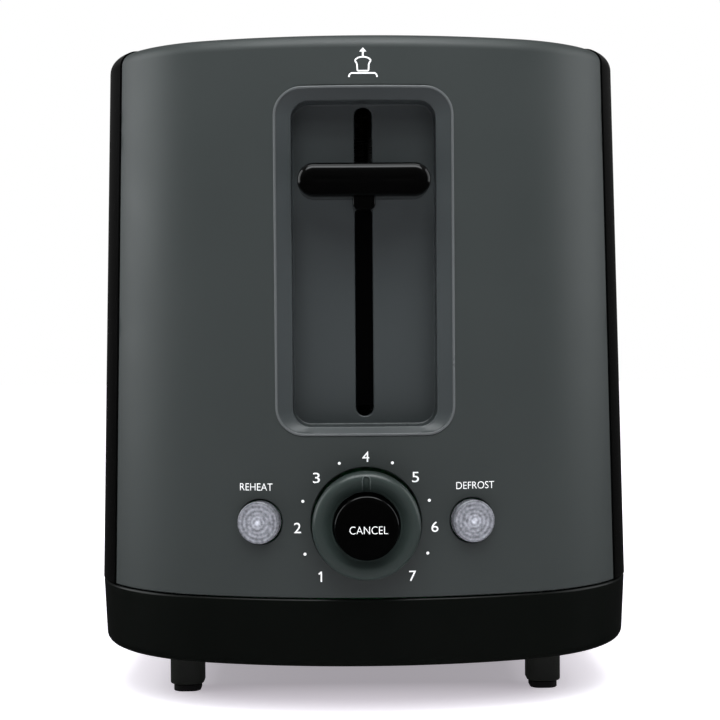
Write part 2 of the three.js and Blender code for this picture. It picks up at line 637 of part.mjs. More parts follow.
function addControlBoard() {
  const board = block(-46, 46, BOARD_Y, BOARD_Y + 1.6, 20, 76);
  placeSolid('control_board', board, CIRCUIT_GREEN);
  const face = BOARD_Y - GAP;
  const sensor = cut(rodAlongY(12.5, face - 5, face, 0, DIAL_Z, 28), rodAlongY(5, face - 6, face + 1, 0, DIAL_Z, 20));
  placeSolid('dial_sensor', sensor, BLACK_SATIN);
  for (const [name, x, z] of [['cancel', 0, DIAL_Z], ['reheat', -SWITCH_X, BUTTON_Z], ['defrost', SWITCH_X, BUTTON_Z]]) {
    placeSolid(`${name}_switch`, block(x - 3, x + 3, face - 4, face, z - 3, z + 3), BLACK_SATIN);
  }
}

// -------------------------------------------------------------------- toaster
addBase();
addFeet();
addBaseScrews();
addCrumbTray();
addBodyShell();
addSlotFrame();
addFrontPanel();
addRearPanel();
addCordOutlet();
addLeverBezel();
addLeverKnob();
addCarriage();
addGuide();
addLiftSpring();
addLatch();
addOven();
addControlBoard();
addDial();
addCancelButton();
addPushButton('reheat_button', -1);
addPushButton('defrost_button', 1);

export default group;
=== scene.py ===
"""The looks of a two-slot pop-up toaster with its controls on one end. Metres, in the pack's frame."""
import json
import math

import bpy
import numpy as np
from mathutils import Matrix, Vector
from mathutils.geometry import delaunay_2d_cdt


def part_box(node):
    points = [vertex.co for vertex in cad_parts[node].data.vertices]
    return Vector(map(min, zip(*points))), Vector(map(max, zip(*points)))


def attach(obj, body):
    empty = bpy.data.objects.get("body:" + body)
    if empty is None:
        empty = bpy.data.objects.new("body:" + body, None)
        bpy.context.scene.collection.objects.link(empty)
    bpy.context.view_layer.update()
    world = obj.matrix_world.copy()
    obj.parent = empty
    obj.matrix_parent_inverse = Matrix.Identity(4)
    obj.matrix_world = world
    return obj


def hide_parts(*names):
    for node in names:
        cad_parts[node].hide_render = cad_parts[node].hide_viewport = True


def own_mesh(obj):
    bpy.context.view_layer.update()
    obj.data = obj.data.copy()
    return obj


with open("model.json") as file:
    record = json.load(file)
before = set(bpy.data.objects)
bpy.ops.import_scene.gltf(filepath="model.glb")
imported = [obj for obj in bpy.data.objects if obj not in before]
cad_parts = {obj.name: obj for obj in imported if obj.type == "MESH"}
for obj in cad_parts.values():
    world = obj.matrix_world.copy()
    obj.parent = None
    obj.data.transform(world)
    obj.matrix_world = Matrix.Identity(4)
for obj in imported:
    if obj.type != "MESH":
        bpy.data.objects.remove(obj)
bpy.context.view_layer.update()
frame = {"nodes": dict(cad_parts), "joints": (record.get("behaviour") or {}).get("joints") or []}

MM = 0.001

# ------------------------------------------------------------- sizes from the frame
PANEL_LOW, PANEL_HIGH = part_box("front_panel")
SHELL_LOW, SHELL_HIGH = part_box("body_shell")
BASE_LOW, BASE_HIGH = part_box("base")
BEZEL_LOW, BEZEL_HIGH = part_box("lever_bezel")
KNOB_LOW, KNOB_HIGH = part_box("lever_knob")
DIAL_LOW, DIAL_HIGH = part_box("dial")
CANCEL_LOW, CANCEL_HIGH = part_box("cancel_button")
OUTLET_LOW, OUTLET_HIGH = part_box("cord_outlet")
TRAY_LOW, TRAY_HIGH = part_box("crumb_tray")
FRAME_LOW, FRAME_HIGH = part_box("slot_frame")

# ------------------------------------------------------------ the body's outer form
HALF_WIDTH = 80 * MM              # at the joint between body and base
END_RADIUS = 148 * MM             # plan radius of the bulging ends
CORNER_RADIUS = 48 * MM           # plan radius of the vertical corners
DRAFT = 0.0235                    # half width lost per unit of height
BASE_DRAFT = 0.049
TOP_EDGE = 4 * MM
WALL = 2.4 * MM
RIM = 0.35 * MM                   # rounding of cut edges
FRONT = PANEL_LOW.y
BODY_TOP = PANEL_HIGH.z
BODY_BOTTOM = PANEL_LOW.z
SEAM = (BODY_BOTTOM + BASE_HIGH.z) / 2
PANEL_EDGE = PANEL_HIGH.y         # y where the front panel ends
SHELL_EDGE = SHELL_LOW.y
SHELL_PROUD = SHELL_HIGH.z - BODY_TOP
CORNER_X = HALF_WIDTH - CORNER_RADIUS
CORNER_ANGLE = math.asin(CORNER_X / (END_RADIUS - CORNER_RADIUS))
CORNER_Y = FRONT + END_RADIUS - (END_RADIUS - CORNER_RADIUS) * math.cos(CORNER_ANGLE)
END_ARC = END_RADIUS * CORNER_ANGLE
CORNER_ARC = CORNER_RADIUS * (math.pi / 2 - CORNER_ANGLE)
HALF_GIRTH = 2 * (END_ARC + CORNER_ARC - CORNER_Y)
RISE = BODY_TOP - TOP_EDGE - BODY_BOTTOM
EDGE_ARC = TOP_EDGE * math.pi / 2
OVER_EDGE = RISE + EDGE_ARC


def outline(u):
    """Point and outward normal of the plan, at distance u along it from the front crown to the right."""
    side = 1 if u >= 0 else -1
    distance = abs(u)
    rear = distance > HALF_GIRTH / 2
    if rear:
        distance = HALF_GIRTH - distance
    if distance < END_ARC:
        angle, radius, centre = distance / END_RADIUS, END_RADIUS, (0, FRONT + END_RADIUS)
    elif distance < END_ARC + CORNER_ARC:
        angle = CORNER_ANGLE + (distance - END_ARC) / CORNER_RADIUS
        radius, centre = CORNER_RADIUS, (CORNER_X, CORNER_Y)
    else:
        angle, radius = math.pi / 2, CORNER_RADIUS
        centre = (CORNER_X, CORNER_Y + distance - END_ARC - CORNER_ARC)
    nx, ny = math.sin(angle), -math.cos(angle)
    x, y = centre[0] + radius * nx, centre[1] + radius * ny
    if rear:
        y, ny = -y, -ny
    return side * x, y, side * nx, ny


def body_scale(z):
    return 1 - DRAFT * (z - SEAM) / HALF_WIDTH


def base_scale(z):
    return 1 + BASE_DRAFT * (z - SEAM) / HALF_WIDTH


def body_point(u, v, depth, proud=0.0):
    """A point of the body: v runs up the wall, over the rounded edge and in over the top."""
    x, y, nx, ny = outline(u)
    radius = TOP_EDGE + proud - depth
    if v < RISE:
        inset, z = depth - proud, BODY_BOTTOM + v
    elif v < OVER_EDGE:
        turn = (v - RISE) / TOP_EDGE
        inset, z = TOP_EDGE - radius * math.cos(turn), BODY_TOP - TOP_EDGE + radius * math.sin(turn)
    else:
        inset, z = TOP_EDGE + v - OVER_EDGE, BODY_TOP + proud - depth
    return Vector(((x - inset * nx) * body_scale(z), y - inset * ny, z))


def normal_of(surface, u, v):
    step = 0.02 * MM
    across = surface(u + step, v, 0) - surface(u - step, v, 0)
    along = surface(u, v + step, 0) - surface(u, v - step, 0)
    return across.cross(along).normalized()


def panel_y(x, z):
    """The front panel's surface where it bulges."""
    return FRONT + END_RADIUS - math.sqrt(END_RADIUS ** 2 - (x / body_scale(z)) ** 2)


# -------------------------------------------------------------------- mesh building
def in_scene(name, data):
    made = bpy.data.objects.new(name, data)
    bpy.context.scene.collection.objects.link(made)
    return made


def turns(count):
    """Angles once round."""
    return [2 * math.pi * i / count for i in range(count)]


def quarter(steps):
    """Inset and drop along a quarter round of radius 1, from the flat face over its edge."""
    angles = (math.pi / 2 * i / steps for i in range(steps + 1))
    return [(1 - math.sin(a), 1 - math.cos(a)) for a in angles]


class Maker:
    """Collects faces, joins equal corners, and makes one closed object."""

    def __init__(self):
        self.index, self.points, self.faces, self.normals = {}, [], [], []

    def vertex(self, point):
        key = tuple(round(c, 7) for c in point)
        if key not in self.index:
            self.index[key] = len(self.points)
            self.points.append(tuple(point))
        return self.index[key]

    def face(self, corners, normals=None):
        ids = [self.vertex(c) for c in corners]
        keep = [i for i in range(len(ids)) if ids[i] != ids[i - 1]]
        if len({ids[i] for i in keep}) < 3:
            return
        self.faces.append([ids[i] for i in keep])
        self.normals.append([normals[i] for i in keep] if normals else [(0, 0, 0)] * len(keep))

    def strip(self, lower, upper, closed=True):
        """Quads between two rings of equally many points."""
        count = len(lower)
        for i in range(count if closed else count - 1):
            j = (i + 1) % count
            self.face([lower[i], lower[j], upper[j], upper[i]])

    def loft(self, rings, closed=True, ring_closed=False):
        for i in range(len(rings) if ring_closed else len(rings) - 1):
            self.strip(rings[i], rings[(i + 1) % len(rings)], closed)

    def fan(self, ring, flip=False):
        centre = sum((Vector(p) for p in ring), Vector()) / len(ring)
        for i in range(len(ring)):
            corners = [ring[i], ring[(i + 1) % len(ring)], centre]
            self.face(corners[::-1] if flip else corners)

    def tube(self, rings):
        """A loft with closed ends."""
        self.loft(rings)
        self.fan(rings[-1])
        self.fan(rings[0], flip=True)

    def block(self, low, high):
        (x0, y0, z0), (x1, y1, z1) = low, high
        bottom = [(x0, y0, z0), (x1, y0, z0), (x1, y1, z0), (x0, y1, z0)]
        top = [(x, y, z1) for x, y, _ in bottom]
        self.strip(bottom, top)
        self.face(bottom[::-1])
        self.face(top)

    def object(self, name, material, sharp=38):
        mesh = bpy.data.meshes.new(name)
        mesh.from_pydata(self.points, [], self.faces)
        mesh.validate()
        mesh.shade_smooth()
        mesh.set_sharp_from_angle(angle=math.radians(sharp))
        if any(n != (0, 0, 0) for face in self.normals for n in face):
            mesh.normals_split_custom_set([n for face in self.normals for n in face])
        mesh.materials.append(material)
        return in_scene(name, mesh)


def finished(made, body, slot, *replaced):
    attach(made, body)
    if replaced:
        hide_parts(*replaced)
    return made


def mirrored(maker):
    """The same faces on the rear end."""
    maker.points = [(x, -y, z) for x, y, z in maker.points]
    maker.faces = [face[::-1] for face in maker.faces]
    maker.normals = [[(n[0], -n[1], n[2]) for n in face[::-1]] for face in maker.normals]


# ------------------------------------------------------- flat patterns for the skins
def ring_of(radius, u, v, count=72):
    return [(u + radius * math.cos(a), v + radius * math.sin(a)) for a in turns(count)]


def rounded_rectangle(half_width, low, high, radius, corner=14, across=16, up=30):
    """Anticlockwise from the bottom left corner's end; every call gives equally many points."""
    points = []
    spans = [
        (-half_width + radius, low, half_width - radius, low, across, -90),
        (half_width, low + radius, half_width, high - radius, up, 0),
        (half_width - radius, high, -half_width + radius, high, across, 90),
        (-half_width, high - radius, -half_width, low + radius, up, 180),
    ]
    for x0, y0, x1, y1, steps, start in spans:
        points += [(x0 + (x1 - x0) * i / steps, y0 + (y1 - y0) * i / steps) for i in range(steps)]
        first = math.radians(start)
        cx, cy = x1 - radius * math.cos(first), y1 - radius * math.sin(first)
        for i in range(corner):
            a = first + math.pi / 2 * i / corner
            points.append((cx + radius * math.cos(a), cy + radius * math.sin(a)))
    return points


def inset_loop(loop, amount):
    """The anticlockwise loop moved inwards."""
    moved = []
    for i, (x, y) in enumerate(loop):
        before, after = loop[i - 1], loop[(i + 1) % len(loop)]
        tangent = Vector((after[0] - before[0], after[1] - before[1]))
        if tangent.length < 1e-9:
            tangent = Vector((1, 0))
        tangent.normalize()
        moved.append((x - amount * tangent.y, y + amount * tangent.x))
    return moved


def inside(points, loop):
    """True for each point within the loop, by crossing count."""
    p = np.asarray(points, float)
    a = np.asarray(loop, float)
    b = np.roll(a, -1, axis=0)
    result = np.zeros(len(p), bool)
    for (x0, y0), (x1, y1) in zip(a, b):
        if y0 == y1:
            continue
        crosses = ((y0 > p[:, 1]) != (y1 > p[:, 1])) & (
            p[:, 0] < (x1 - x0) * (p[:, 1] - y0) / (y1 - y0) + x0)
        result ^= crosses
    return result


def clear_of(points, loop, gap):
    p = np.asarray(points, float)
    a = np.asarray(loop, float)
    near = np.full(len(p), np.inf)
    for q in a:
        near = np.minimum(near, np.hypot(*(p - q).T))
    return near > gap


def triangulate(border, holes, grid, gap):
    """Anticlockwise triangles inside the border and outside the holes, with the grid points that fit."""
    keep = inside(grid, border) & clear_of(grid, border, gap)
    for hole in holes:
        keep &= ~inside(grid, hole) & clear_of(grid, hole, gap)
    points = [tuple(p) for p in np.asarray(grid)[keep]]
    edges = []
    for loop in (border, *holes):
        start = len(points)
        points += loop
        edges += [(start + i, start + (i + 1) % len(loop)) for i in range(len(loop))]
    scale = 1000                  # the triangulation works in millimetres
    coords, _, faces, *_ = delaunay_2d_cdt([Vector(p) * scale for p in points], edges, [], 0, 1e-5)
    triangles = [[(coords[i].x / scale, coords[i].y / scale) for i in f] for f in faces]
    centres = [np.mean(t, axis=0) for t in triangles]
    use = inside(centres, border)
    for hole in holes:
        use &= ~inside(centres, hole)
    return [t if turns_left(*t) >= 0 else t[::-1] for t, ok in zip(triangles, use) if ok]


def turns_left(a, b, c):
    return (b[0] - a[0]) * (c[1] - a[1]) - (c[0] - a[0]) * (b[1] - a[1])


def add_skin(maker, surface, border, holes, grid, gap):
    """A wall of even thickness cut to a pattern, with rounded cut edges."""
    tight = [inset_loop(border, RIM)] + [inset_loop(hole, -RIM) for hole in holes]
    for corners in triangulate(tight[0], tight[1:], grid, gap):
        normals = [tuple(normal_of(surface, *c)) for c in corners]
        maker.face([surface(*c, 0) for c in corners], normals)
        maker.face([surface(*c, WALL) for c in corners[::-1]])
    for number, loop in enumerate((border, *holes)):
        reach = RIM if number == 0 else -RIM
        rings = [[surface(*c, RIM * drop) for c in inset_loop(loop, reach * inset)]
                 for inset, drop in quarter(4)]
        rings.append([surface(*c, WALL - RIM) for c in loop])
        rings.append([surface(*c, WALL) for c in inset_loop(loop, reach)])
        if number:
            rings = [ring[::-1] for ring in rings]
        maker.loft(rings[::-1])


# ------------------------------------------------------------------------- materials
class Shader:
    """A material's node tree round one Principled shader."""

    def __init__(self, name, color, roughness, metallic=0.0, coat=0.0, specular=0.5):
        self.material = bpy.data.materials.new(name)
        self.material.use_nodes = True
        self.tree = self.material.node_tree
        self.shader = self.tree.nodes["Principled BSDF"]
        self.color, self.roughness = color, roughness
        values = {"Base Color": (*color, 1), "Roughness": roughness, "Metallic": metallic,
                  "Coat Weight": coat, "Coat Roughness": 0.08, "Specular IOR Level": specular}
        for socket, value in values.items():
            self.shader.inputs[socket].default_value = value
        self.coordinates = self.node("ShaderNodeTexCoord").outputs["Object"]
        self.height = None

    def node(self, kind, **settings):
        made = self.tree.nodes.new(kind)
        for key, value in settings.items():
            setattr(made, key, value)
        return made

    def link(self, output, target):
        self.tree.links.new(output, target)

    def noise(self, scale, detail=3.0, stretch=(1, 1, 1)):
        mapping = self.node("ShaderNodeMapping")
        mapping.inputs["Scale"].default_value = stretch
        self.link(self.coordinates, mapping.inputs["Vector"])
        noise = self.node("ShaderNodeTexNoise")
        noise.inputs["Scale"].default_value = scale
        noise.inputs["Detail"].default_value = detail
        self.link(mapping.outputs["Vector"], noise.inputs["Vector"])
        return noise.outputs["Fac"]

    def span(self, source, low, high, from_low=0.3, from_high=0.7):
        reach = self.node("ShaderNodeMapRange")
        ends = {"From Min": from_low, "From Max": from_high, "To Min": low, "To Max": high}
        for key, value in ends.items():
            reach.inputs[key].default_value = value
        self.link(source, reach.inputs["Value"])
        return reach.outputs["Result"]

    def mix_colors(self, source, low, high):
        mix = self.node("ShaderNodeMix", data_type="RGBA")
        mix.inputs[6].default_value = (*low, 1)
        mix.inputs[7].default_value = (*high, 1)
        self.link(source, mix.inputs[0])
        return mix.outputs[2]

    def vary_color(self, scale, amount):
        low = [c * (1 - amount) for c in self.color]
        high = [min(1, c * (1 + amount)) for c in self.color]
        source = self.span(self.noise(scale, 4), 0, 1)
        self.link(self.mix_colors(source, low, high), self.shader.inputs["Base Color"])
        return self

    def vary_roughness(self, scale, amount, stretch=(1, 1, 1)):
        low, high = max(0.02, self.roughness - amount), min(1, self.roughness + amount)
        source = self.span(self.noise(scale, 4, stretch), low, high)
        self.link(source, self.shader.inputs["Roughness"])
        return self

    def vector(self, operation, source, value=None):
        step = self.node("ShaderNodeVectorMath", operation=operation)
        self.link(source, step.inputs[0])
        if value is not None:
            step.inputs[1].default_value = value
        return step.outputs["Value" if operation == "LENGTH" else "Vector"]

    def bump(self, source, distance):
        bump = self.node("ShaderNodeBump")
        bump.inputs["Distance"].default_value = distance
        bump.inputs["Strength"].default_value = 1.0
        self.link(source, bump.inputs["Height"])
        if self.height:
            self.link(self.height, bump.inputs["Normal"])
        self.height = bump.outputs["Normal"]
        self.link(self.height, self.shader.inputs["Normal"])
        return self


def grained_plastic(name, color, roughness, grain=2600, depth=0.006 * MM):
    """Moulded plastic: a very fine spark-eroded grain and slow drifts of colour and gloss."""
    made = Shader(name, color, roughness)
    made.vary_color(14, 0.05).vary_roughness(45, 0.03)
    return made.bump(made.noise(grain, 2), depth).material


def polished_plastic(name, color, roughness, specular):
    """Gloss mouldings: soft waviness, faint handling marks in the gloss."""
    made = Shader(name, color, roughness, specular=specular)
    made.vary_color(20, 0.1).vary_roughness(70, 0.025)
    return made.bump(made.noise(55, 1), 0.012 * MM).material


def rolled_steel(name, color, roughness):
    """Sheet with the fine lines of its rolling."""
    made = Shader(name, color, roughness, metallic=1.0)
    lines = (1, 1, 40)
    made.vary_color(30, 0.08).vary_roughness(240, 0.07, lines)
    return made.bump(made.noise(900, 2, lines), 0.01 * MM).material


def rubber(name, color):
    made = Shader(name, color, 0.8, specular=0.3)
    made.vary_color(80, 0.2).bump(made.noise(900, 4), 0.03 * MM)
    return made.material


def mica(name, color):
    made = Shader(name, color, 0.55)
    made.vary_color(260, 0.35).vary_roughness(300, 0.15).bump(made.noise(700, 5), 0.04 * MM)
    return made.material


def circuit_board(name, color):
    """Solder-masked board with the shadow of its copper tracks."""
    made = Shader(name, color, 0.35, coat=0.4)
    tracks = made.node("ShaderNodeTexBrick")
    tracks.inputs["Scale"].default_value = 160
    tracks.inputs["Color1"].default_value = (*color, 1)
    tracks.inputs["Color2"].default_value = (*[c * 0.8 for c in color], 1)
    tracks.inputs["Mortar"].default_value = (*[min(1, c * 1.8) for c in color], 1)
    made.link(made.coordinates, tracks.inputs["Vector"])
    made.link(tracks.outputs["Color"], made.shader.inputs["Base Color"])
    return made.bump(made.noise(500, 3), 0.02 * MM).material


def copper_winding(name, color):
    made = Shader(name, color, 0.3, metallic=1.0)
    wave = made.node("ShaderNodeTexWave", bands_direction="Z")
    wave.inputs["Scale"].default_value = 480
    made.link(made.coordinates, wave.inputs["Vector"])
    made.vary_color(60, 0.15)
    return made.bump(wave.outputs["Fac"], 0.15 * MM).material


def ink(name, color):
    made = Shader(name, color, 0.5)
    made.vary_color(400, 0.03).vary_roughness(500, 0.08)
    return made.bump(made.noise(1500, 2), 0.004 * MM).material


def smoky_lens(name, color, centre, axis):
    """Clear grey plastic over a turned reflector: fine rings, and a painted highlight that brightens the
    middle.
    """
    made = Shader(name, color, 0.18, coat=0.6)
    across = made.vector("CROSS_PRODUCT", made.vector("SUBTRACT", made.coordinates, centre), axis)
    radius = made.vector("LENGTH", across)
    rings_and_painted_highlight = made.node("ShaderNodeValToRGB")
    # The bright first stops paint a highlight in the middle; the rises and dips after them are the
    # reflector's turned rings.
    stops = [(0.0, 2.6), (0.1, 2.1), (0.18, 1.1), (0.27, 1.45), (0.35, 0.85), (0.46, 1.25), (0.55, 0.8),
             (0.66, 1.2), (0.76, 0.7), (0.86, 1.15), (0.93, 0.6), (1.0, 1.0)]
    while len(rings_and_painted_highlight.color_ramp.elements) < len(stops):
        rings_and_painted_highlight.color_ramp.elements.new(0.5)
    for element, (position, factor) in zip(rings_and_painted_highlight.color_ramp.elements, stops):
        element.position = position
        element.color = (*[min(1, c * factor) for c in color], 1)
    made.link(made.span(radius, 0, 1, 0, LENS_RADIUS), rings_and_painted_highlight.inputs["Fac"])
    speckle = made.node("ShaderNodeMix", data_type="RGBA", blend_type="MULTIPLY")
    speckle.inputs[0].default_value = 0.8
    specks = made.span(made.noise(1100, 3), 0, 1)
    made.link(rings_and_painted_highlight.outputs["Color"], speckle.inputs[6])
    made.link(made.mix_colors(specks, (0.5,) * 3, (1.5,) * 3), speckle.inputs[7])
    made.link(speckle.outputs[2], made.shader.inputs["Base Color"])
    scaled = made.node("ShaderNodeMath", operation="MULTIPLY")
    scaled.inputs[1].default_value = 2 * math.pi / LENS_RING
    rings = made.node("ShaderNodeMath", operation="SINE")
    made.link(radius, scaled.inputs[0])
    made.link(scaled.outputs[0], rings.inputs[0])
    return made.bump(rings.outputs[0], 0.03 * MM).bump(made.noise(1800, 2), 0.02 * MM).material


LENS_RADIUS = 6 * MM
LENS_RING = 0.9 * MM              # spacing of the reflector's turned rings
LENS_GREY = (0.19, 0.195, 0.215)
SATIN_GRAIN = {"grain": 1400, "depth": 0.012 * MM}

GREY_PANEL = grained_plastic("grey_panel", (0.0262, 0.0315, 0.0303), 0.46)
GREY_INSERT = grained_plastic("grey_insert", (0.034, 0.0395, 0.0405), 0.36)
# Lighter grey for a strip on the bezel's bead: a painted highlight.
BEZEL_PAINTED_HIGHLIGHT = grained_plastic("bezel_painted_highlight", (0.078, 0.084, 0.085), 0.3)
DIAL_GREY = grained_plastic("dial_grey", (0.0215, 0.030, 0.0272), 0.34)
# Lighter grey for the raised rim round the dial's pointer groove: a painted highlight on the groove's edges.
DIAL_POINTER_PAINTED_HIGHLIGHT = grained_plastic("dial_pointer_painted_highlight", (0.058, 0.070, 0.067), 0.3)
BLACK_GLOSS = polished_plastic("black_gloss", (0.0005, 0.0005, 0.0005), 0.12, specular=0.28)
BLACK_BASE = polished_plastic("black_base", (0.0019, 0.0024, 0.0019), 0.3, specular=0.2)
BLACK_SATIN = grained_plastic("black_satin", (0.008, 0.009, 0.009), 0.42, **SATIN_GRAIN)
FOOT_PLASTIC = grained_plastic("foot_plastic", (0.0125, 0.0145, 0.0115), 0.4, **SATIN_GRAIN)
RUBBER = rubber("foot_rubber", (0.006, 0.006, 0.006))
STEEL = rolled_steel("plated_steel", (0.42, 0.43, 0.44), 0.32)
BRIGHT_STEEL = rolled_steel("aluminised_steel", (0.62, 0.63, 0.64), 0.24)
MICA = mica("mica", (0.26, 0.19, 0.09))
BOARD_GREEN = circuit_board("circuit_board", (0.014, 0.1, 0.034))
# Near black for the dark_steel pieces, so that the lever slot reads black: painted shade.
DARK_STEEL_PAINTED_SHADE = grained_plastic("dark_steel_painted_shade", (0.005, 0.005, 0.006), 0.5, grain=900)
COPPER = copper_winding("copper_winding", (0.42, 0.15, 0.06))
WHITE_INK = ink("white_ink", (0.86, 0.87, 0.86))


# ------------------------------------------------------------------- outer cases
def split_angle(inset, edge=PANEL_EDGE):
    """Angle of the plan's normal where the outline, moved in by inset, crosses the panel's rear edge."""
    angle = math.acos(min(1, (CORNER_Y - edge) / (CORNER_RADIUS - inset)))
    if angle < CORNER_ANGLE:
        angle = math.acos(min(1, (FRONT + END_RADIUS - edge) / (END_RADIUS - inset)))
    return angle


def distance_at(angle):
    if angle < CORNER_ANGLE:
        return angle * END_RADIUS
    return END_ARC + (angle - CORNER_ANGLE) * CORNER_RADIUS


def panel_border():
    """The end panel's flat pattern, anticlockwise from its bottom left corner."""
    reach = distance_at(split_angle(0))
    across = [(-reach + 2 * reach * i / 90, 0) for i in range(90)]
    up = [(reach, RISE * i / 40) for i in range(40)]
    over = []
    for i in range(14):
        turn = math.pi / 2 * i / 14
        over.append((distance_at(split_angle(TOP_EDGE * (1 - math.cos(turn)))), RISE + TOP_EDGE * turn))
    top_reach = distance_at(split_angle(TOP_EDGE))
    top = []
    for i in range(46):
        u = top_reach * (1 - i / 45)
        _, y, _, ny = outline(u)
        top.append((u, OVER_EDGE + (PANEL_EDGE - y) / -ny - TOP_EDGE))
    half = up + over + top
    return across + half + [(-u, v) for u, v in half[-2:0:-1]]


def panel_grid():
    reach = distance_at(split_angle(0))
    columns = np.linspace(-reach, reach, 66)
    rows = [*np.arange(2.5 * MM, RISE, 5 * MM), *np.linspace(RISE, OVER_EDGE, 11),
            *np.arange(OVER_EDGE + 2 * MM, OVER_EDGE + 26 * MM, 3 * MM)]
    return [(u, v) for v in rows for u in columns]


def pattern_place(x, z):
    """Where a point of the bulging panel lies in its flat pattern."""
    return END_RADIUS * math.asin(x / body_scale(z) / END_RADIUS), z - BODY_BOTTOM


BEZEL_CORNER = 8 * MM
PANEL_GRID_GAP = 1.1 * MM         # kept clear of the pattern's edges by the grid
DIAL_CENTRE = (DIAL_LOW + DIAL_HIGH) / 2
CANCEL_CENTRE = (CANCEL_LOW + CANCEL_HIGH) / 2


BUTTON_NAMES = ("reheat", "defrost")


def joint_named(name):
    return next(joint for joint in frame["joints"] if joint["name"] == name)


def button_axis(side):
    """Where a push button meets the panel, and its outward direction."""
    name = BUTTON_NAMES[side > 0]
    outward = -Vector(joint_named(name + "_press")["axis"]).normalized()
    low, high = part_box(name + "_button")
    x = END_RADIUS * outward.x
    return Vector((x, FRONT + END_RADIUS * (1 + outward.y), (low.z + high.z) / 2)), outward


def add_front_panel():
    holes = [ring_of(15.6 * MM, *pattern_place(0, DIAL_CENTRE.z), 96)]
    for side in (-1, 1):
        centre, _ = button_axis(side)
        holes.append(ring_of(6.4 * MM, *pattern_place(centre.x, centre.z), 56))
    gap = 0.05 * MM
    reach, low = pattern_place(BEZEL_HIGH.x + gap, BEZEL_LOW.z - gap)
    holes.append(rounded_rectangle(reach, low, low + BEZEL_HIGH.z - BEZEL_LOW.z + 2 * gap, BEZEL_CORNER))
    maker = Maker()
    add_skin(maker, body_point, panel_border(), holes, panel_grid(), PANEL_GRID_GAP)
    finished(maker.object("front_panel_skin", GREY_PANEL), "body", "grey_panel", "front_panel")


def add_rear_panel():
    hole = ring_of(6 * MM, *pattern_place(0, (OUTLET_LOW.z + OUTLET_HIGH.z) / 2), 48)
    maker = Maker()
    add_skin(maker, body_point, panel_border(), [hole], panel_grid(), PANEL_GRID_GAP)
    mirrored(maker)
    finished(maker.object("rear_panel_skin", GREY_PANEL), "body", "grey_panel", "rear_panel")


def add_shell_side(maker, mirror):
    """One wall of the shell with its rounded top edge, as a grid of quads with thickness."""
    def surface(u, v, depth):
        point = body_point(u, v, depth, SHELL_PROUD)
        return Vector((-point.x, point.y, point.z)) if mirror else point

    levels = [0, RIM, *np.linspace(4 * MM, RISE, 12), *np.linspace(RISE, OVER_EDGE, 11)[1:]]
    rows = []
    for v in levels:
        turn = max(0, (v - RISE) / TOP_EDGE)
        start = distance_at(split_angle(TOP_EDGE * (1 - math.cos(turn)), SHELL_EDGE))
        rows.append([(start + (HALF_GIRTH - 2 * start) * t, v) for t in shell_steps()])
    for lower, upper in zip(rows, rows[1:]):
        for i in range(len(lower) - 1):
            quad = [lower[i], lower[i + 1], upper[i + 1], upper[i]]
            normals = [tuple(normal_of(surface, *c) * (-1 if mirror else 1)) for c in quad]
            faces = [surface(*c, 0) for c in quad]
            backs = [surface(*c, WALL + SHELL_PROUD) for c in quad]
            maker.face(faces[::-1] if mirror else faces, normals[::-1] if mirror else normals)
            maker.face(backs if mirror else backs[::-1])
    ends = [rows[0], [row[0] for row in rows], [row[-1] for row in rows]]
    for edge, line in enumerate(ends):
        outer = [surface(*c, 0) for c in line]
        inner = [surface(*c, WALL + SHELL_PROUD) for c in line]
        flip = (edge == 1) ^ mirror
        maker.strip(*((inner, outer) if not flip else (outer, inner)), closed=False)
    return [surface(*c, 0) for c in rows[-1]]


def shell_steps():
    """Places along the shell, closer together in its curved corners."""
    curved = [0.14 * i / 12 for i in range(12)]
    straight = [0.14 + 0.72 * i / 24 for i in range(25)]
    return curved + straight + [1 - t for t in curved[::-1]]


TOP_GRID_GAP = 1.5 * MM


def add_body_shell():
    """Both side walls and the flat top with its window for the slot frame."""
    maker = Maker()
    right = add_shell_side(maker, False)
    left = add_shell_side(maker, True)
    top = BODY_TOP + SHELL_PROUD
    under = BODY_TOP - WALL
    narrowing = body_scale(under) / body_scale(top)

    def below(p):
        return (p[0] * narrowing, p[1], under)

    gap = 0.3 * MM
    window = rounded_rectangle(FRAME_HIGH.x + gap, FRAME_LOW.y - gap, FRAME_HIGH.y + gap, 14.3 * MM)
    border = [(p.x, p.y) for p in (*right, *left[::-1])]
    grid = [(x, y) for x in np.arange(-72, 73, 6) * MM for y in np.arange(-100, 101, 8) * MM]
    tight = inset_loop(window, -RIM)
    for corners in triangulate(border, [tight], grid, TOP_GRID_GAP):
        maker.face([(x, y, top) for x, y in corners], [(0, 0, 1)] * 3)
        maker.face([below(c) for c in corners[::-1]])
    rings = [[(x, y, top - RIM * drop) for x, y in inset_loop(window, -RIM * inset)]
             for inset, drop in quarter(4)]
    rings.append([below(p) for p in tight])
    maker.loft([ring[::-1] for ring in rings][::-1])
    for line in ((right[-1], left[-1]), (left[0], right[0])):
        maker.strip(line[::-1], [below(p) for p in line[::-1]], closed=False)
    finished(maker.object("body_shell_skin", BLACK_GLOSS), "body", "black_gloss", "body_shell")


# ------------------------------------------------------------------------- base
BASE_EDGE = 2.5 * MM
BASE_RIM = 0.8 * MM
BASE_PROUD = BASE_HIGH.x - HALF_WIDTH


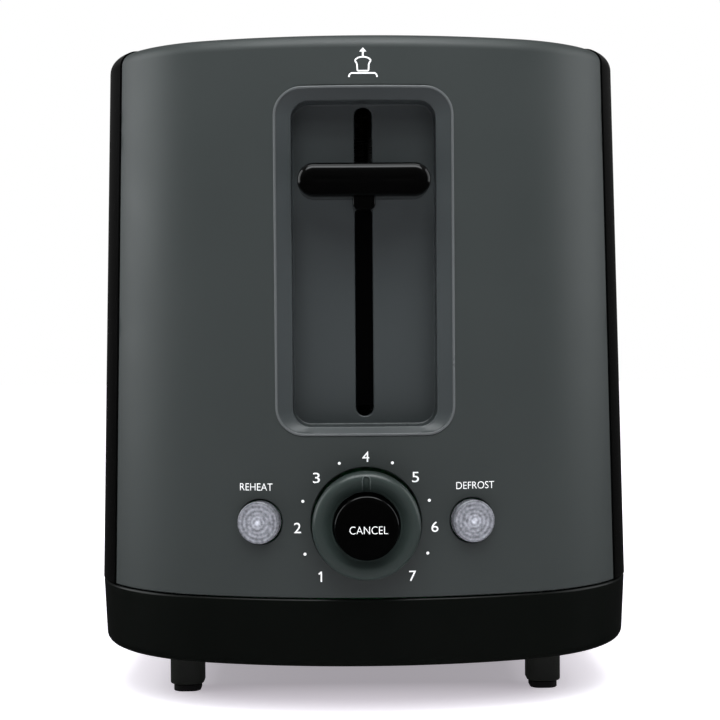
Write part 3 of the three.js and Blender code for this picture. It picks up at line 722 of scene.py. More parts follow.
def base_point(u, v, depth):
    """v runs from the rounded bottom edge, up the wall and over the rim."""
    x, y, nx, ny = outline(u)
    z0, z1 = BASE_LOW.z, BASE_HIGH.z
    low_arc, high_arc = BASE_EDGE * math.pi / 2, BASE_RIM * math.pi / 2
    wall = z1 - z0 - BASE_EDGE - BASE_RIM
    if v < low_arc:
        turn = v / BASE_EDGE
        radius = BASE_EDGE - depth
        inset, z = BASE_EDGE - radius * math.sin(turn), z0 + BASE_EDGE - radius * math.cos(turn)
    elif v < low_arc + wall:
        inset, z = depth, z0 + BASE_EDGE + v - low_arc
    else:
        turn = min(v - low_arc - wall, high_arc) / BASE_RIM
        reach = BASE_RIM - min(depth, BASE_RIM)
        inset = BASE_RIM - reach * math.cos(turn) + max(0, depth - BASE_RIM)
        z = z1 - BASE_RIM + reach * math.sin(turn)
    inset -= BASE_PROUD
    return Vector(((x - inset * nx) * base_scale(z), y - inset * ny, z))


BASE_GIRTH_V = (BASE_EDGE + BASE_RIM) * math.pi / 2 + BASE_HIGH.z - BASE_LOW.z - BASE_EDGE - BASE_RIM


def tray_mouth(gap=0.0):
    """The crumb tray's opening in the base's flat pattern, centred on the rear crown."""
    low = BASE_EDGE * math.pi / 2 + TRAY_LOW.z - BASE_LOW.z - BASE_EDGE - gap
    high = low + TRAY_HIGH.z - TRAY_LOW.z + 2 * gap
    half = TRAY_HIGH.x + gap
    reach = END_ARC + CORNER_RADIUS * (math.asin((half - CORNER_X) / CORNER_RADIUS) - CORNER_ANGLE)
    return reach, low, high


def add_base():
    """The base tub: its wall with the tray's mouth, and its floor."""
    maker = Maker()
    reach, low, high = tray_mouth(0.3 * MM)
    bottom_edge = np.linspace(0, BASE_EDGE * math.pi / 2, 6)
    rim = np.linspace(BASE_GIRTH_V - BASE_RIM * math.pi / 2, BASE_GIRTH_V, 5)
    levels = sorted({*bottom_edge, low, high, *rim})
    count = 220
    stops = sorted({2 * HALF_GIRTH * i / count - HALF_GIRTH for i in range(count + 1)}
                   | {HALF_GIRTH - reach, reach - HALF_GIRTH})
    for v0, v1 in zip(levels, levels[1:]):
        for u0, u1 in zip(stops, stops[1:]):
            if low <= v0 < high and abs(u0 + u1) / 2 > HALF_GIRTH - reach:
                continue
            quad = [(u0, v0), (u1, v0), (u1, v1), (u0, v1)]
            normals = [tuple(normal_of(base_point, *c)) for c in quad]
            maker.face([base_point(*c, 0) for c in quad], normals)
            maker.face([base_point(*c, WALL) for c in quad[::-1]])
    for v, depth, flip in ((0, 0, True), (0, WALL, False)):
        maker.fan([base_point(u, v, depth) for u in stops[:-1]], flip)
    maker.strip(*([base_point(u, BASE_GIRTH_V, depth) for u in stops[:-1]] for depth in (0, WALL)))
    across = [u for u in stops if u >= HALF_GIRTH - reach]
    across += [u for u in stops[1:] if u <= reach - HALF_GIRTH]
    sill = [v for v in levels if low <= v <= high]
    mouth = [(u, low) for u in across] + [(across[-1], v) for v in sill[1:]]
    mouth += [(u, high) for u in across[-2::-1]] + [(across[0], v) for v in sill[-2:0:-1]]
    outer, inner = ([base_point(*c, depth) for c in mouth[::-1]] for depth in (0, WALL))
    maker.strip(inner, outer)
    finished(maker.object("base_tub", BLACK_BASE), "body", "black_gloss", "base")


def door_point(t, v, depth):
    """The tray's door continues the base's wall: t runs from the right of the rear crown to its left."""
    return base_point(t + HALF_GIRTH if t < 0 else t - HALF_GIRTH, v, depth)


def add_crumb_tray():
    """The pan, with its curved door cut from the base's wall and a finger rail on it."""
    maker = Maker()
    reach, low, high = tray_mouth()
    grid = [(t, v) for t in np.arange(-48, 49, 4) * MM for v in np.linspace(low, high, 5)]
    add_skin(maker, door_point, rounded_rectangle(reach, low, high, 1.2 * MM, 6, 60, 4), [], grid, 1 * MM)
    sheet = 1 * MM
    half = TRAY_HIGH.x - 1.5 * MM
    front, bottom, top = TRAY_LOW.y, TRAY_LOW.z, TRAY_HIGH.z - 1.5 * MM
    rear = [door_point(t, low + 2 * MM, WALL / 2) for t in np.linspace(-reach, reach, 41)]
    rear = [p for p in rear if abs(p.x) < half]
    side_rear = rear[0].y
    floor = [Vector((-half, front, 0)), Vector((half, front, 0)), *[Vector((p.x, p.y, 0)) for p in rear]]
    lower, upper = ([Vector((p.x, p.y, z)) for p in floor] for z in (bottom, bottom + sheet))
    maker.strip(lower, upper)
    maker.face(lower[::-1])
    maker.face(upper)
    for x in (-half, half - sheet):
        maker.block((x, front, bottom + sheet), (x + sheet, side_rear, top))
    maker.block((-half + sheet, front, bottom + sheet), (half - sheet, front + sheet, top))
    middle = (TRAY_LOW.z + TRAY_HIGH.z) / 2
    rings = []
    for y, tuck in ((-5, 0.2), (-1.2, 0.0), (-0.4, 0.1), (-0.1, 0.35), (0, 0.7)):
        loop = rounded_rectangle((16 - tuck) * MM, middle - (1.6 - tuck) * MM, middle + (1.6 - tuck) * MM,
                                 (0.9 - tuck) * MM, 5, 8, 2)
        rings.append([Vector((-x, TRAY_HIGH.y + y * MM, z)) for x, z in loop])
    maker.tube(rings)
    finished(maker.object("crumb_tray_pan", BLACK_SATIN), "crumb_tray", "black_satin", "crumb_tray")


# ----------------------------------------------------------------- lever, dial, buttons
BEZEL_HALF = BEZEL_HIGH.x + 0.25 * MM
RECESS_DEPTH = 11 * MM
POCKET = (20.2 * MM, 81.9 * MM, 172.8 * MM, 5 * MM)       # half width, bottom, top, corner
SLOT_HALF = 2.5 * MM
SLOT_ENDS = (84.3 * MM, 172.0 * MM)


def weighted(obj):
    """Large flat faces keep their own direction beside rounded edges."""
    modifier = obj.modifiers.new("weighted_normal", "WEIGHTED_NORMAL")
    modifier.keep_sharp = True
    return obj


def add_lever_bezel():
    """A frame that slopes in to a pocket, whose floor has the lever's slot, and a lighter strip along its
    bead that paints a highlight.
    """
    outer = (BEZEL_HALF, BEZEL_LOW.z, BEZEL_HIGH.z, BEZEL_CORNER)

    def ring(t, depth, flat=0.0, shape=None, grow=0.0):
        half, low, high, corner = shape or [p + (q - p) * t for p, q in zip(outer, POCKET)]
        loop = rounded_rectangle(half + grow, low - grow, high + grow, corner + grow)
        return [Vector((x, (1 - flat) * panel_y(x, z) + flat * FRONT + depth, z)) for x, z in loop]

    def ridge(radius, angles):
        return [ring(0, 0.1 * MM - radius * math.sin(a), grow=radius * math.cos(a) - bead) for a in angles]

    bead, slope_end, fillet, slot_edge = 0.35 * MM, 2.0 * MM, 0.6 * MM, 0.4 * MM
    rings = [ring(0, 3.6 * MM), ring(0, 0.2 * MM), *ridge(bead, [math.pi * i / 12 for i in range(13)])]
    rings += [ring(t, 0.1 * MM + (slope_end - 0.1 * MM) * (t - 0.14) / 0.76) for t in (0.25, 0.5, 0.75, 0.9)]
    rings += [ring(1 - 0.1 * inset, slope_end + 0.6 * MM * drop) for inset, drop in quarter(5)[1:]]
    rings.append(ring(1, RECESS_DEPTH - fillet, 1))
    rings += [ring(1, RECESS_DEPTH - fillet * inset, 1, grow=-fillet * drop)
              for inset, drop in quarter(5)[1:]]
    slot = (SLOT_HALF, *SLOT_ENDS, SLOT_HALF - 0.001 * MM)
    rings += [ring(1, RECESS_DEPTH + slot_edge * drop, 1, slot, slot_edge * inset)
              for inset, drop in quarter(4)]
    rings.append(ring(1, RECESS_DEPTH + 2 * MM, 1, slot))
    rings.append(ring(1, RECESS_DEPTH + 2 * MM, 1, grow=1.5 * MM))
    rings.append(ring(1, 4.2 * MM, grow=1.5 * MM))
    maker = Maker()
    maker.loft(rings, ring_closed=True)
    bezel = maker.object("lever_bezel_frame", GREY_INSERT, 60)
    finished(weighted(bezel), "body", "grey_insert", "lever_bezel")
    # A lighter strip over the front of the bead: a painted highlight on its rounded edge.
    line = Maker()
    line.loft(ridge(0.45 * MM, [math.pi * (0.2 + 0.06 * i) for i in range(11)]), ring_closed=True)
    finished(weighted(line.object("lever_bezel_painted_highlight", BEZEL_PAINTED_HIGHLIGHT, 60)), "body", "grey_insert")


def cushion(maker, shape, y_back, y_front, edge, crown=0.0):
    """A block with a rounded front edge and a crowned face. shape is half width, bottom, top, corner."""
    half, low, high, corner = shape

    def ring(y, shrink, crowned=0.0):
        loop = rounded_rectangle(half - shrink, low + shrink, high - shrink, corner - shrink, 12, 20, 2)
        return [Vector((x, y - crowned * max(0, 1 - (x / half) ** 2), z)) for x, z in loop]

    rings = [ring(y_back, 0.5 * MM), ring(y_back - 0.5 * MM, 0)]
    rings += [ring(y_front + edge * inset, edge * drop, crown * (1 - inset)) for inset, drop in quarter(6)]
    rim = rings[-1]
    middle = (low + high) / 2
    for t in (0.5, 0.85):
        rings.append([Vector((p.x * (1 - 0.12 * t), p.y - crown * 0.35 * t,
                              middle + (p.z - middle) * (1 - t))) for p in rim])
    maker.tube(rings)


def add_lever_knob():
    """The lever's finger bar, on a stem block that reaches down in front of the slot."""
    maker = Maker()
    half_height = 4.7 * MM
    middle = KNOB_HIGH.z - half_height
    bar = (KNOB_HIGH.x, middle - half_height, middle + half_height, half_height - 0.05 * MM)
    cushion(maker, bar, KNOB_LOW.y + 14 * MM, KNOB_LOW.y, 2.4 * MM, 0.3 * MM)
    stem = (3.15 * MM, KNOB_LOW.z, middle + 1.3 * MM, 1.6 * MM)
    cushion(maker, stem, KNOB_HIGH.y, KNOB_LOW.y + 3 * MM, 0.8 * MM)
    knob = maker.object("lever_finger_bar", BLACK_GLOSS, 60)
    finished(weighted(knob), "lift", "black_gloss", "lever_knob")


FRONTWARD = Vector((0, -1, 0))


def turned(centre, profile, axis=FRONTWARD, angles=tuple(turns(96)), shape=None):
    """Rings of a turned form, from (radius, height) pairs. shape may alter a height by its angle."""
    side = Vector((0, 0, 1)).cross(axis).normalized()
    up = axis.cross(side)
    return [[centre + side * r * math.cos(a) + up * r * math.sin(a) + axis * (shape(r, a, h) if shape else h)
             for a in angles] for r, h in profile]


def in_mm(profile):
    return [(r * MM, h * MM) for r, h in profile]


def arc(radius, height, size, start, end, steps=6):
    """Profile points on a round of the given size."""
    turns = (math.radians(start + (end - start) * i / steps) for i in range(steps + 1))
    return [(radius + size * math.cos(a), height + size * math.sin(a)) for a in turns]


GROOVE_HALF = 0.95 * MM
GROOVE_DEPTH = 0.4 * MM
GROOVE_ROUND = 12.9 * MM          # where its rounded outer end begins
DIAL_FACE = -4 * MM               # the groove reaches no deeper than this on the dial


def add_dial():
    """A ring knob: rolled outer edge, crest, slope in to the bore, and one pointer groove with a rim."""
    centre = Vector((0, DIAL_LOW.y, DIAL_CENTRE.z))
    profile = [(9.35, -8), (14.4, -8), (14.75, -7.6), *arc(12.8, -2.2, 2.2, 0, 90, 10)]
    profile += [(12.2, -0.1), (11.6, -0.4), (10.9, -0.9), (10.2, -1.5), (9.85, -1.85)]
    profile = in_mm(profile + arc(9.85, -2.35, 0.5, 90, 180, 4))

    def pointer(radius, angle, height):
        along = radius * math.sin(angle)
        off = math.hypot(radius * math.cos(angle), max(0.0, along - 12.95 * MM))
        if along < 0 or radius < 9.45 * MM or height < DIAL_FACE:
            return height
        wall = min(1.0, max(0.0, (GROOVE_HALF - off) / (0.35 * MM)))
        return height - GROOVE_DEPTH * wall * wall * (3 - 2 * wall)

    fine = []
    for (r0, h0), (r1, h1) in zip(profile, profile[1:]):
        pieces = max(1, round(math.hypot(r1 - r0, h1 - h0) / (0.3 * MM))) if h0 > DIAL_FACE else 1
        fine += [(r0 + (r1 - r0) * i / pieces, h0 + (h1 - h0) * i / pieces) for i in range(pieces)]
    fine.append(profile[-1])
    maker = Maker()
    maker.loft(turned(centre, fine, angles=dial_angles(), shape=pointer), ring_closed=True)
    finished(maker.object("dial_ring", DIAL_GREY, 50), "dial", "dial_grey", "dial")
    add_pointer_rim(centre, sorted((r, h) for r, h in profile if h > -2.5 * MM))


def add_pointer_rim(centre, crest):
    """A thin raised line round the groove, lighter grey to paint the highlight on the groove's edges. crest
    gives the dial's height by radius.
    """
    straight = [9.9 + 0.25 * i for i in range(13)]
    path = [(-1, along) for along in straight]
    bend = (math.pi * i / 12 for i in range(1, 12))
    path += [(-math.cos(a), GROOVE_ROUND / MM + math.sin(a)) for a in bend]
    path += [(1, along) for along in straight[::-1]]
    rings = []
    for across, along in path:
        section = []
        for offset, proud in ((0.95, -0.3), (0.95, 0.12), (1.25, 0.12), (1.25, -0.3)):
            beyond = max(0, along * MM - GROOVE_ROUND)
            x, z = across * offset * MM, min(along * MM, GROOVE_ROUND) + beyond * offset
            height = np.interp(math.hypot(x, z), *zip(*crest)) + proud * MM
            section.append(centre + Vector((x, -height, z)))
        rings.append(section)
    maker = Maker()
    maker.loft(rings[::-1])
    maker.face(rings[0])
    maker.face(rings[-1][::-1])
    finished(maker.object("dial_pointer", DIAL_POINTER_PAINTED_HIGHLIGHT, 30), "dial", "dial_grey")


def dial_angles():
    """Angles about the dial, anticlockwise from the right, four times as close across the pointer groove."""
    top, near = math.pi / 2, math.radians(8)
    dense = [top - near + 2 * near * i / 48 for i in range(48)]
    rest = [top + near + (2 * math.pi - 2 * near) * i / 110 for i in range(110)]
    return dense + rest


def add_cancel_button():
    centre = Vector((0, CANCEL_LOW.y, CANCEL_CENTRE.z))
    profile = [(8.5, -12), (8.85, -11.7), (8.85, -1.0), *arc(8.15, -0.95, 0.7, 0, 72, 5)]
    profile += [(r, -0.0042 * r * r) for r in (7.8, 7, 5.5, 4, 2.5, 1)]
    maker = Maker()
    maker.tube(turned(centre, in_mm(profile)))
    finished(maker.object("cancel_cap", BLACK_GLOSS, 50), "cancel_button", "black_gloss", "cancel_button")


def add_push_button(side):
    """A clear cap over a turned reflector, square to the curved panel."""
    name = BUTTON_NAMES[side > 0]
    centre, outward = button_axis(side)
    profile = [(5.6, -7), (5.95, -6.6), (5.95, 2.1), *arc(5.35, 2.1, 0.6, 0, 80, 5)]
    profile += [(5.1, 2.66), (4.95, 2.55), (4.8, 2.52), (3.2, 2.6), (2.0, 2.66), (1.0, 2.7)]
    maker = Maker()
    maker.tube(turned(centre, in_mm(profile), outward, turns(72)))
    lens = smoky_lens(name + "_lens", LENS_GREY, centre, outward)
    finished(maker.object(name + "_cap", lens, 50), name + "_button", "clear_grey", name + "_button")


# ------------------------------------------------------------------ printing on the panel
def print_on_panel(drawing):
    """Bends a flat drawing, laid out in the x-z plane, on to the panel's surface."""
    for vertex in drawing.data.vertices:
        x, y, z = vertex.co
        vertex.co = (x, panel_y(x, z) + y, z)
    drawing.data.update()
    finished(drawing, "body", "grey_panel")


def with_steps(loop, step=0.5 * MM):
    """The loop with points added, so that no side is longer than a step."""
    dense = []
    for (x0, z0), (x1, z1) in zip(loop, loop[1:] + loop[:1]):
        count = max(1, math.ceil(math.hypot(x1 - x0, z1 - z0) / step))
        dense += [(x0 + (x1 - x0) * i / count, z0 + (z1 - z0) * i / count) for i in range(count)]
    return dense


def print_shape(name, loops):
    """A thin plate on the panel with these outlines, given as (x, z) loops."""
    curve = bpy.data.curves.new(name, "CURVE")
    curve.dimensions = "2D"
    curve.fill_mode = "BOTH"
    curve.extrude = INK / 2
    for loop in map(with_steps, loops):
        spline = curve.splines.new("POLY")
        spline.points.add(len(loop) - 1)
        for point, (x, z) in zip(spline.points, loop):
            point.co = (x, z, 0, 1)
        spline.use_cyclic_u = True
    print_on_panel(upright(name, curve))


def upright(name, curve):
    """The drawing as a mesh standing in the x-z plane, facing the front."""
    holder = in_scene(name, curve)
    bpy.context.view_layer.update()
    mesh = bpy.data.meshes.new_from_object(holder.evaluated_get(bpy.context.evaluated_depsgraph_get()))
    bpy.data.objects.remove(holder)
    for vertex in mesh.vertices:
        x, z, out = vertex.co
        vertex.co = (x, -out, z)
    mesh.materials.clear()
    mesh.materials.append(WHITE_INK)
    mesh.name = name
    return in_scene(name, mesh)


INK = 0.05 * MM                   # thickness of the print
DIGIT_HEIGHT = 2.9 * MM


def word_shape(name, text, x, z, width, height, boldness):
    """A word in plain capitals, centred at (x, z), pulled to the width and height."""
    curve = bpy.data.curves.new(name, "FONT")
    curve.body = text
    curve.size = height * 1.4
    curve.extrude = INK / 2
    curve.offset = height * boldness
    curve.resolution_u = 6
    word = upright(name, curve)
    points = [v.co.copy() for v in word.data.vertices]
    low = [min(p[k] for p in points) for k in (0, 2)]
    high = [max(p[k] for p in points) for k in (0, 2)]
    for vertex in word.data.vertices:
        across = (vertex.co.x - low[0]) / (high[0] - low[0]) - 0.5
        up = (vertex.co.z - low[1]) / (high[1] - low[1]) - 0.5
        vertex.co = (x + across * width, vertex.co.y, z + up * height)
    return word


def print_figure_one(x, z):
    """The figure 1, with a flag and no foot."""
    stem, flag, top, bottom = 0.42 * MM, 0.62 * MM, z + DIGIT_HEIGHT / 2, z - DIGIT_HEIGHT / 2
    right, left = x + stem, x
    shape = [(left, bottom), (right, bottom), (right, top), (right - stem * 0.9, top),
             (left - flag, top - 0.62 * MM), (left - flag + 0.2 * MM, top - 0.98 * MM),
             (left, top - 0.62 * MM)]
    print_shape("scale_1", [shape])


def add_scale():
    """Browning numbers round the dial, with a dot between each two."""
    def place(step, radius):
        turn = math.radians(46) * step
        return radius * math.sin(turn), DIAL_CENTRE.z - 0.6 * MM + radius * math.cos(turn)

    print_figure_one(*place(-3, 19.2 * MM))
    for number in range(2, 8):
        x, z = place(number - 4, 19.2 * MM)
        print_on_panel(word_shape(f"scale_{number}", str(number), x, z, 1.95 * MM, DIGIT_HEIGHT, 0.0))
    print_shape("scale_dots", [ring_of(0.42 * MM, *place(gap - 2.5, 18.9 * MM), 20) for gap in range(6)])


def add_words():
    for name, x, width in (("reheat", -30.7 * MM, 9.2 * MM), ("defrost", 30.7 * MM, 10.8 * MM)):
        print_on_panel(word_shape(name + "_label", name.upper(), x, 65.1 * MM, width, 2.0 * MM, -0.012))
    low = CANCEL_CENTRE.z - 0.45 * MM
    word = word_shape("cancel_label", "CANCEL", 0.5 * MM, low, 10.4 * MM, 2.1 * MM, -0.02)
    for vertex in word.data.vertices:
        vertex.co.y += CANCEL_LOW.y
    finished(word, "cancel_button", "grey_panel")


def print_line(name, path, closed):
    """A printed line of even width along a path of (x, z) points."""
    steps = with_steps(path)
    path = steps if closed else steps[:steps.index(path[-1]) + 1]
    rings = []
    for i, (x, z) in enumerate(path):
        before = path[i - 1] if i or closed else path[0]
        after = path[(i + 1) % len(path)] if closed or i + 1 < len(path) else path[-1]
        half = Vector((after[0] - before[0], after[1] - before[1])).normalized() * LINE_WIDTH / 2
        rings.append([(x - side * half.y, out, z + side * half.x)
                      for side, out in ((1, INK / 2), (1, -INK / 2), (-1, -INK / 2), (-1, INK / 2))])
    maker = Maker()
    maker.loft(rings + rings[:1] if closed else rings)
    if not closed:
        maker.face(rings[0][::-1])
        maker.face(rings[-1])
    print_on_panel(maker.object(name, WHITE_INK, 30))


LINE_WIDTH = 0.42 * MM


def add_lift_symbol():
    """A slice of bread standing on a line, with an arrow up: a plain sign for raising the toast."""
    level, end, corner = 179.95 * MM, 178.85 * MM, 3.0 * MM
    bend = [(corner + 0.9 * MM * math.sin(a), end + (level - end) * math.cos(a))
            for a in (math.pi / 2 * i / 6 for i in range(7))]
    print_line("lift_symbol_shelf", [(-x, z) for x, z in bend[::-1]] + bend, False)
    side = in_mm([(1.35, 180.56), (1.55, 180.76), (1.6, 181.56), (1.62, 182.26), (1.78, 182.76),
                  (2.08, 183.16), (2.14, 183.51), (1.9, 183.81), (1.35, 184.16), (0.7, 184.36)])
    crown = (0, 184.42 * MM)
    print_line("lift_symbol_slice", [*side, crown, *[(-x, z) for x, z in side[::-1]]], True)
    tip, wing, stem, neck, foot = 187.0, 1.0, 0.24, 185.85, 184.5
    arrow = [(0, tip), (-wing, neck), (-stem, neck), (-stem, foot), (stem, foot), (stem, neck), (wing, neck)]
    print_shape("lift_symbol_arrow", [in_mm(arrow)])


# --------------------------------------------------------------- top frame, guards, outlet
def add_slot_frame():
    """The satin frame round the two bread slots: a raised lip, a dished face and deep slot collars."""
    slots = (-33 * MM, 33 * MM)
    top = FRAME_HIGH.z
    face, under = top - 1.2 * MM, top - 3.6 * MM

    def loop(x, half, reach, radius, z):
        return [Vector((x + p, q, z)) for p, q in rounded_rectangle(half, -reach, reach, radius, 10, 10, 34)]

    def collar(x, grow, z):
        return loop(x, (17 + grow) * MM, (75 + grow) * MM, (4 + grow) * MM, z)

    def plan(ring):
        return [(p.x, p.y) for p in ring]

    lip = [(0.0, -3.6, 13.7), (0.0, -0.8, 13.7), (0.23, -0.23, 13.5), (0.8, 0.0, 12.9), (1.6, 0.0, 12.1),
           (2.2, -0.2, 11.5), (2.6, -0.7, 11.1), (2.8, -1.2, 10.9)]
    rings = [loop(0, FRAME_HIGH.x - i * MM, FRAME_HIGH.y - i * MM, r * MM, top + z * MM) for i, z, r in lip]
    maker = Maker()
    maker.loft(rings)
    for x in slots:
        inner = [(1.2, 0.0), (0.5, 0.15), (0.15, 0.5), (0.0, 1.2), (0.0, 8.9)]
        wall = [collar(x, grow, face - drop * MM) for grow, drop in inner]
        maker.loft(wall + [collar(x, 1.1, top - depth * MM) for depth in (9.0, 3.6)])
    grid = [(x, y) for x in np.arange(-54, 55, 6) * MM for y in np.arange(-80, 81, 8) * MM]
    holes = [plan(collar(x, 1.2, face)) for x in slots]
    for corners in triangulate(plan(rings[-1]), holes, grid, TOP_GRID_GAP):
        maker.face([(x, y, face) for x, y in corners], [(0, 0, 1)] * 3)
    holes = [plan(collar(x, 1.1, under)) for x in slots]
    for corners in triangulate(plan(rings[0]), holes, grid, TOP_GRID_GAP):
        maker.face([(x, y, under) for x, y in corners[::-1]])
    finished(maker.object("slot_surround", BLACK_SATIN, 50), "body", "black_satin", "slot_frame")


def add_wire(maker, a, b, radius):
    """A straight round wire with rounded ends."""
    axis = (b - a).normalized()
    side = axis.orthogonal().normalized()
    up = axis.cross(side)
    tuck = axis * radius * 0.4
    ends = ((a, 0.6), (a + tuck, 1), (b - tuck, 1), (b, 0.6))
    maker.tube([[centre + (side * math.cos(t) + up * math.sin(t)) * radius * r for t in turns(8)]
                for centre, r in ends])


def add_bread_guard(name):
    """A welded wire grid as high and long as the guard's plate."""
    low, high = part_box(name)
    radius = (high.x - low.x) / 4
    shift = radius if "left" in name else -radius
    middle = (low.x + high.x) / 2
    upright_x, rail_x = middle - shift, middle + shift
    maker = Maker()
    for y in np.linspace(low.y + radius, high.y - radius, 15):
        add_wire(maker, Vector((upright_x, y, low.z)), Vector((upright_x, y, high.z)), radius)
    for z in np.linspace(low.z + radius, high.z - radius, 4):
        add_wire(maker, Vector((rail_x, low.y, z)), Vector((rail_x, high.y, z)), radius)
    body = name.replace("bread_guard", "guard")
    finished(maker.object(name + "_grid", BRIGHT_STEEL, 60), body, "bright_steel", name)


def add_cord_outlet():
    """A flanged bush with a rolled rim and a through bore."""
    centre = Vector((0, OUTLET_LOW.y, (OUTLET_LOW.z + OUTLET_HIGH.z) / 2))
    reach = (OUTLET_HIGH.y - OUTLET_LOW.y) / MM
    profile = [(3.8, 0.3), (4.2, 0), (5.4, 0), (5.7, 0.3), (5.7, reach - 8.7), (8.4, reach - 8.7)]
    profile += arc(8.2, reach - 7.9, 0.8, -90, 90, 8)
    profile += [(6.6, reach - 7.0), (6.2, reach - 6.5), (5.9, reach - 5.5)]
    profile += [*arc(5.0, reach - 0.7, 0.7, 0, 150, 8), (3.8, reach - 1.6)]
    maker = Maker()
    maker.loft(turned(centre, in_mm(profile), -FRONTWARD, turns(72)), ring_closed=True)
    finished(maker.object("cord_bush", BLACK_SATIN, 50), "body", "black_satin", "cord_outlet")


# ---------------------------------------------------------- finishes for the CAD's own pieces
def add_lift_spring():
    """A round wire coil with two closed end turns, built at one length though the real spring shortens as
    the carriage goes down.
    """
    low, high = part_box("lift_spring")
    wire = 0.7 * MM
    radius = (high.x - low.x) / 2 - wire
    foot = Vector(((low.x + high.x) / 2, (low.y + high.y) / 2, low.z))
    coils, closed, steps = 16, 1.25, 20
    closed_rise = closed * 2.2 * wire
    length = high.z - low.z - 2 * wire
    stages = (0, closed, coils - closed, coils), (0, closed_rise, length - closed_rise, length)
    rings = []
    for i in range(coils * steps + 1):
        coil = i / steps
        out = Vector((math.cos(2 * math.pi * coil), math.sin(2 * math.pi * coil), 0))
        at = foot + Vector((0, 0, wire + np.interp(coil, *stages))) + out * radius
        rings.append([at + (out * math.cos(a) + Vector((0, 0, math.sin(a)))) * wire for a in turns(8)])
    maker = Maker()
    maker.tube(rings[::-1])
    spring = finished(maker.object("lift_spring_coil", STEEL, 60), "body", "steel", "lift_spring")
    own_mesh(spring)


def add_foot(node, width, length, corner, edge, look, slot):
    """A block with rounded corners and bottom edge, as high as its CAD node. Sizes in millimetres."""
    low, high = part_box(node)
    middle = (low + high) / 2
    rings = []
    low_edge, high_edge = low.z + 0.3 * edge * MM, low.z + edge * MM
    for z, inset in ((low.z, edge), (low_edge, 0.3 * edge), (high_edge, 0), (high.z, 0)):
        half, reach = (width / 2 - inset) * MM, (length / 2 - inset) * MM
        loop = rounded_rectangle(half, -reach, reach, (corner - inset) * MM, 8, 2, 2)
        rings.append([Vector((middle.x + x, middle.y + y, z)) for x, y in loop])
    maker = Maker()
    maker.tube(rings)
    finished(maker.object(node.replace("foot", "leg") + "_form", look, 50), "body", slot, node)


def add_legs():
    """Four legs, each on a smaller rubber pad."""
    for corner in ("front_left", "front_right", "rear_left", "rear_right"):
        add_foot("foot_" + corner, 10.2, 10.8, 3.4, 0.5, FOOT_PLASTIC, "black_satin")
        add_foot("foot_pad_" + corner, 8.2, 9.4, 2.8, 0.3, RUBBER, "rubber")


SLOT_MATERIALS = {
    "grey_panel": GREY_PANEL, "grey_insert": GREY_INSERT, "black_gloss": BLACK_GLOSS,
    "black_satin": BLACK_SATIN, "dial_grey": DIAL_GREY, "rubber": RUBBER, "steel": STEEL,
    "bright_steel": BRIGHT_STEEL, "mica": MICA,
    "circuit_green": BOARD_GREEN, "dark_steel": DARK_STEEL_PAINTED_SHADE, "copper": COPPER,
}


def dress_nodes():
    """A procedural finish and softened edges for each CAD node that stays."""
    for name, node in frame["nodes"].items():
        if node.hide_render:
            continue
        slot_name = node.data.materials[0].name.split(".")[0]
        node.data.materials.clear()
        node.data.materials.append(SLOT_MATERIALS[slot_name])
        low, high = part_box(name)
        bevel = node.modifiers.new("bevel", "BEVEL")
        bevel.width = min(0.45 * MM, 0.12 * min(high - low))
        bevel.segments = 2
        bevel.limit_method = "ANGLE"
        bevel.angle_limit = math.radians(40)
        bevel.harden_normals = False


# ----------------------------------------------------------------------- floor and lights
FLOOR_GLOW_WITH_PAINTED_SHADOW = (0.35, 1.0)          # emission strength: low under the object as a painted shadow, full on the open floor
PAINTED_SHADOW_HALF = (0.045, 0.088, 0)    # half sizes of the patch of floor with the painted shadow
PAINTED_SHADOW_FADE = 0.062                # width of its soft edge
FLOOR_HALF = 2.5


def add_floor():
    made = Shader("studio_floor", (0.9, 0.9, 0.905), 0.9, specular=0.1)
    made.vary_color(3, 0.004)
    # Painted shadow: the emission is dimmed over a patch round the object's footprint, and its violet tint
    # colours that shadow; far off the floor glows evenly white.
    made.shader.inputs["Emission Color"].default_value = (0.98, 0.92, 1, 1)
    beyond = made.vector("SUBTRACT", made.vector("ABSOLUTE", made.coordinates), PAINTED_SHADOW_HALF)
    distance = made.vector("LENGTH", made.vector("MAXIMUM", beyond, (0, 0, 0)))
    made.link(made.span(distance, *FLOOR_GLOW_WITH_PAINTED_SHADOW, 0, PAINTED_SHADOW_FADE), made.shader.inputs["Emission Strength"])
    mesh = bpy.data.meshes.new("studio_floor")
    corners = [(x * FLOOR_HALF, y * FLOOR_HALF, 0) for x, y in ((-1, -1), (1, -1), (1, 1), (-1, 1))]
    mesh.from_pydata(corners, [], [(0, 1, 2, 3)])
    mesh.materials.append(made.material)
    floor = in_scene("studio_floor", mesh)
    floor.visible_glossy = False


COOL_LIGHT = (0.95, 0.985, 1.0)


def add_softbox(name, bearing, height, distance, size, power, glossy=True):
    """A rectangular light aimed at the body. Its bearing is in degrees to the right of the front."""
    aim = Vector((0, 0, BODY_TOP / 2))
    a = math.radians(bearing)
    place = aim + Vector((math.sin(a) * distance, -math.cos(a) * distance, height))
    light = bpy.data.lights.new(name, "AREA")
    light.shape = "RECTANGLE"
    light.size, light.size_y = size
    light.energy = power
    light.color = COOL_LIGHT
    box = in_scene(name, light)
    box.visible_glossy = glossy
    turn = (aim - place).to_track_quat("-Z", "Y")
    box.matrix_world = Matrix.Translation(place) @ turn.to_matrix().to_4x4()


def add_lights():
    add_softbox("overhead", 0, 1.3, 0.35, (1.2, 1.2), 8)
    add_softbox("front_top", 0, 0.42, 0.34, (0.55, 0.2), 1.4)
    add_softbox("left_box", -92, 0.28, 0.75, (0.62, 0.66), 2.9)
    add_softbox("right_box", 90, 0.28, 0.75, (0.62, 0.66), 2.1)
    add_softbox("front_fill", 0, 0.95, 1.15, (1.4, 0.7), 10, glossy=False)


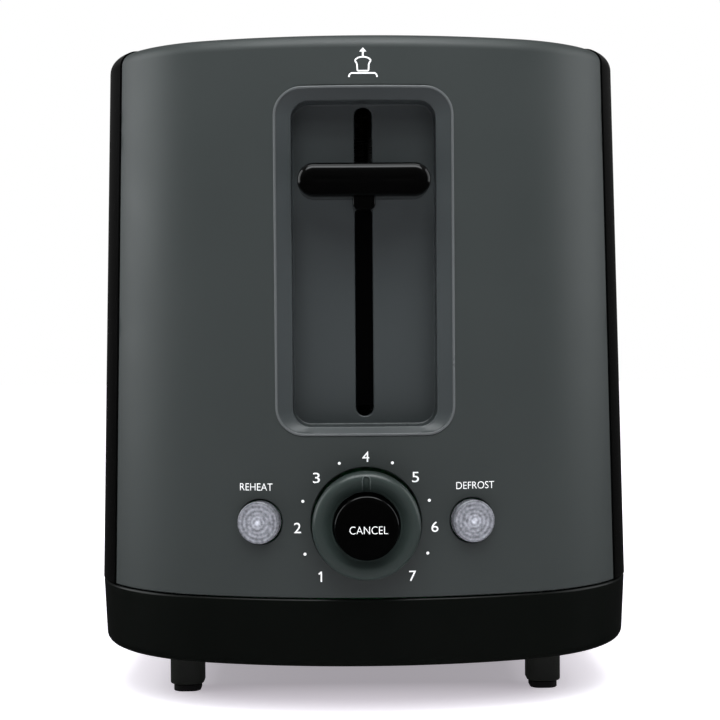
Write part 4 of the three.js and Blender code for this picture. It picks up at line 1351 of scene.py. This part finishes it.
ROOM = (0.02, 0.22)               # the room's brightness at the horizon and overhead


def set_world():
    """White to the camera. The object sees a dim room, darkest in front and brighter overhead."""
    world = bpy.data.worlds.new("studio")
    world.use_nodes = True
    nodes, links = world.node_tree.nodes, world.node_tree.links
    background = nodes["Background"]
    direction = nodes.new("ShaderNodeTexCoord").outputs["Generated"]
    parts = nodes.new("ShaderNodeSeparateXYZ")
    links.new(direction, parts.inputs[0])
    height = nodes.new("ShaderNodeMapRange")
    height.interpolation_type = "SMOOTHSTEP"
    ends = {"From Min": -0.1, "From Max": 1.0, "To Min": ROOM[0], "To Max": ROOM[1]}
    for key, value in ends.items():
        height.inputs[key].default_value = value
    links.new(parts.outputs["Z"], height.inputs["Value"])
    path = nodes.new("ShaderNodeLightPath")
    choose = nodes.new("ShaderNodeMix")
    choose.inputs[3].default_value = 1.0
    links.new(path.outputs["Is Camera Ray"], choose.inputs[0])
    links.new(height.outputs["Result"], choose.inputs[2])
    links.new(choose.outputs[0], background.inputs["Strength"])
    background.inputs["Color"].default_value = (1, 1, 1, 1)
    bpy.context.scene.world = world
    bpy.context.scene.view_settings.view_transform = "Standard"


# -------------------------------------------------------------------------------- camera
def add_camera():
    data = bpy.data.cameras.new("camera")
    data.sensor_width = 36
    data.lens = 81.03
    data.clip_start = 0.01
    yaw, pitch, roll = 0.0108, -0.0214, -0.0075
    forward = Vector((math.sin(yaw) * math.cos(pitch), math.cos(yaw) * math.cos(pitch), math.sin(pitch)))
    level = Vector((math.cos(yaw), -math.sin(yaw), 0))
    rising = level.cross(forward)
    right = math.cos(roll) * level + math.sin(roll) * rising
    up = math.cos(roll) * rising - math.sin(roll) * level
    place = Vector((-6.27 * MM, FRONT - 450 * MM, 110.13 * MM))
    facing = Matrix((right, up, -forward)).transposed().to_4x4()
    camera = in_scene("camera", data)
    camera.matrix_world = Matrix.Translation(place) @ facing
    bpy.context.scene.camera = camera


# ------------------------------------------------------------------------------ build it
add_camera()
add_front_panel()
add_rear_panel()
add_body_shell()
add_base()
add_crumb_tray()
add_lever_bezel()
add_lever_knob()
add_dial()
add_cancel_button()
for push_side in (-1, 1):
    add_push_button(push_side)
add_scale()
add_words()
add_lift_symbol()
add_slot_frame()
for guard in sorted(name for name in frame["nodes"] if name.startswith("bread_guard")):
    add_bread_guard(guard)
add_cord_outlet()
add_legs()
add_lift_spring()
dress_nodes()
add_floor()
add_lights()
set_world()
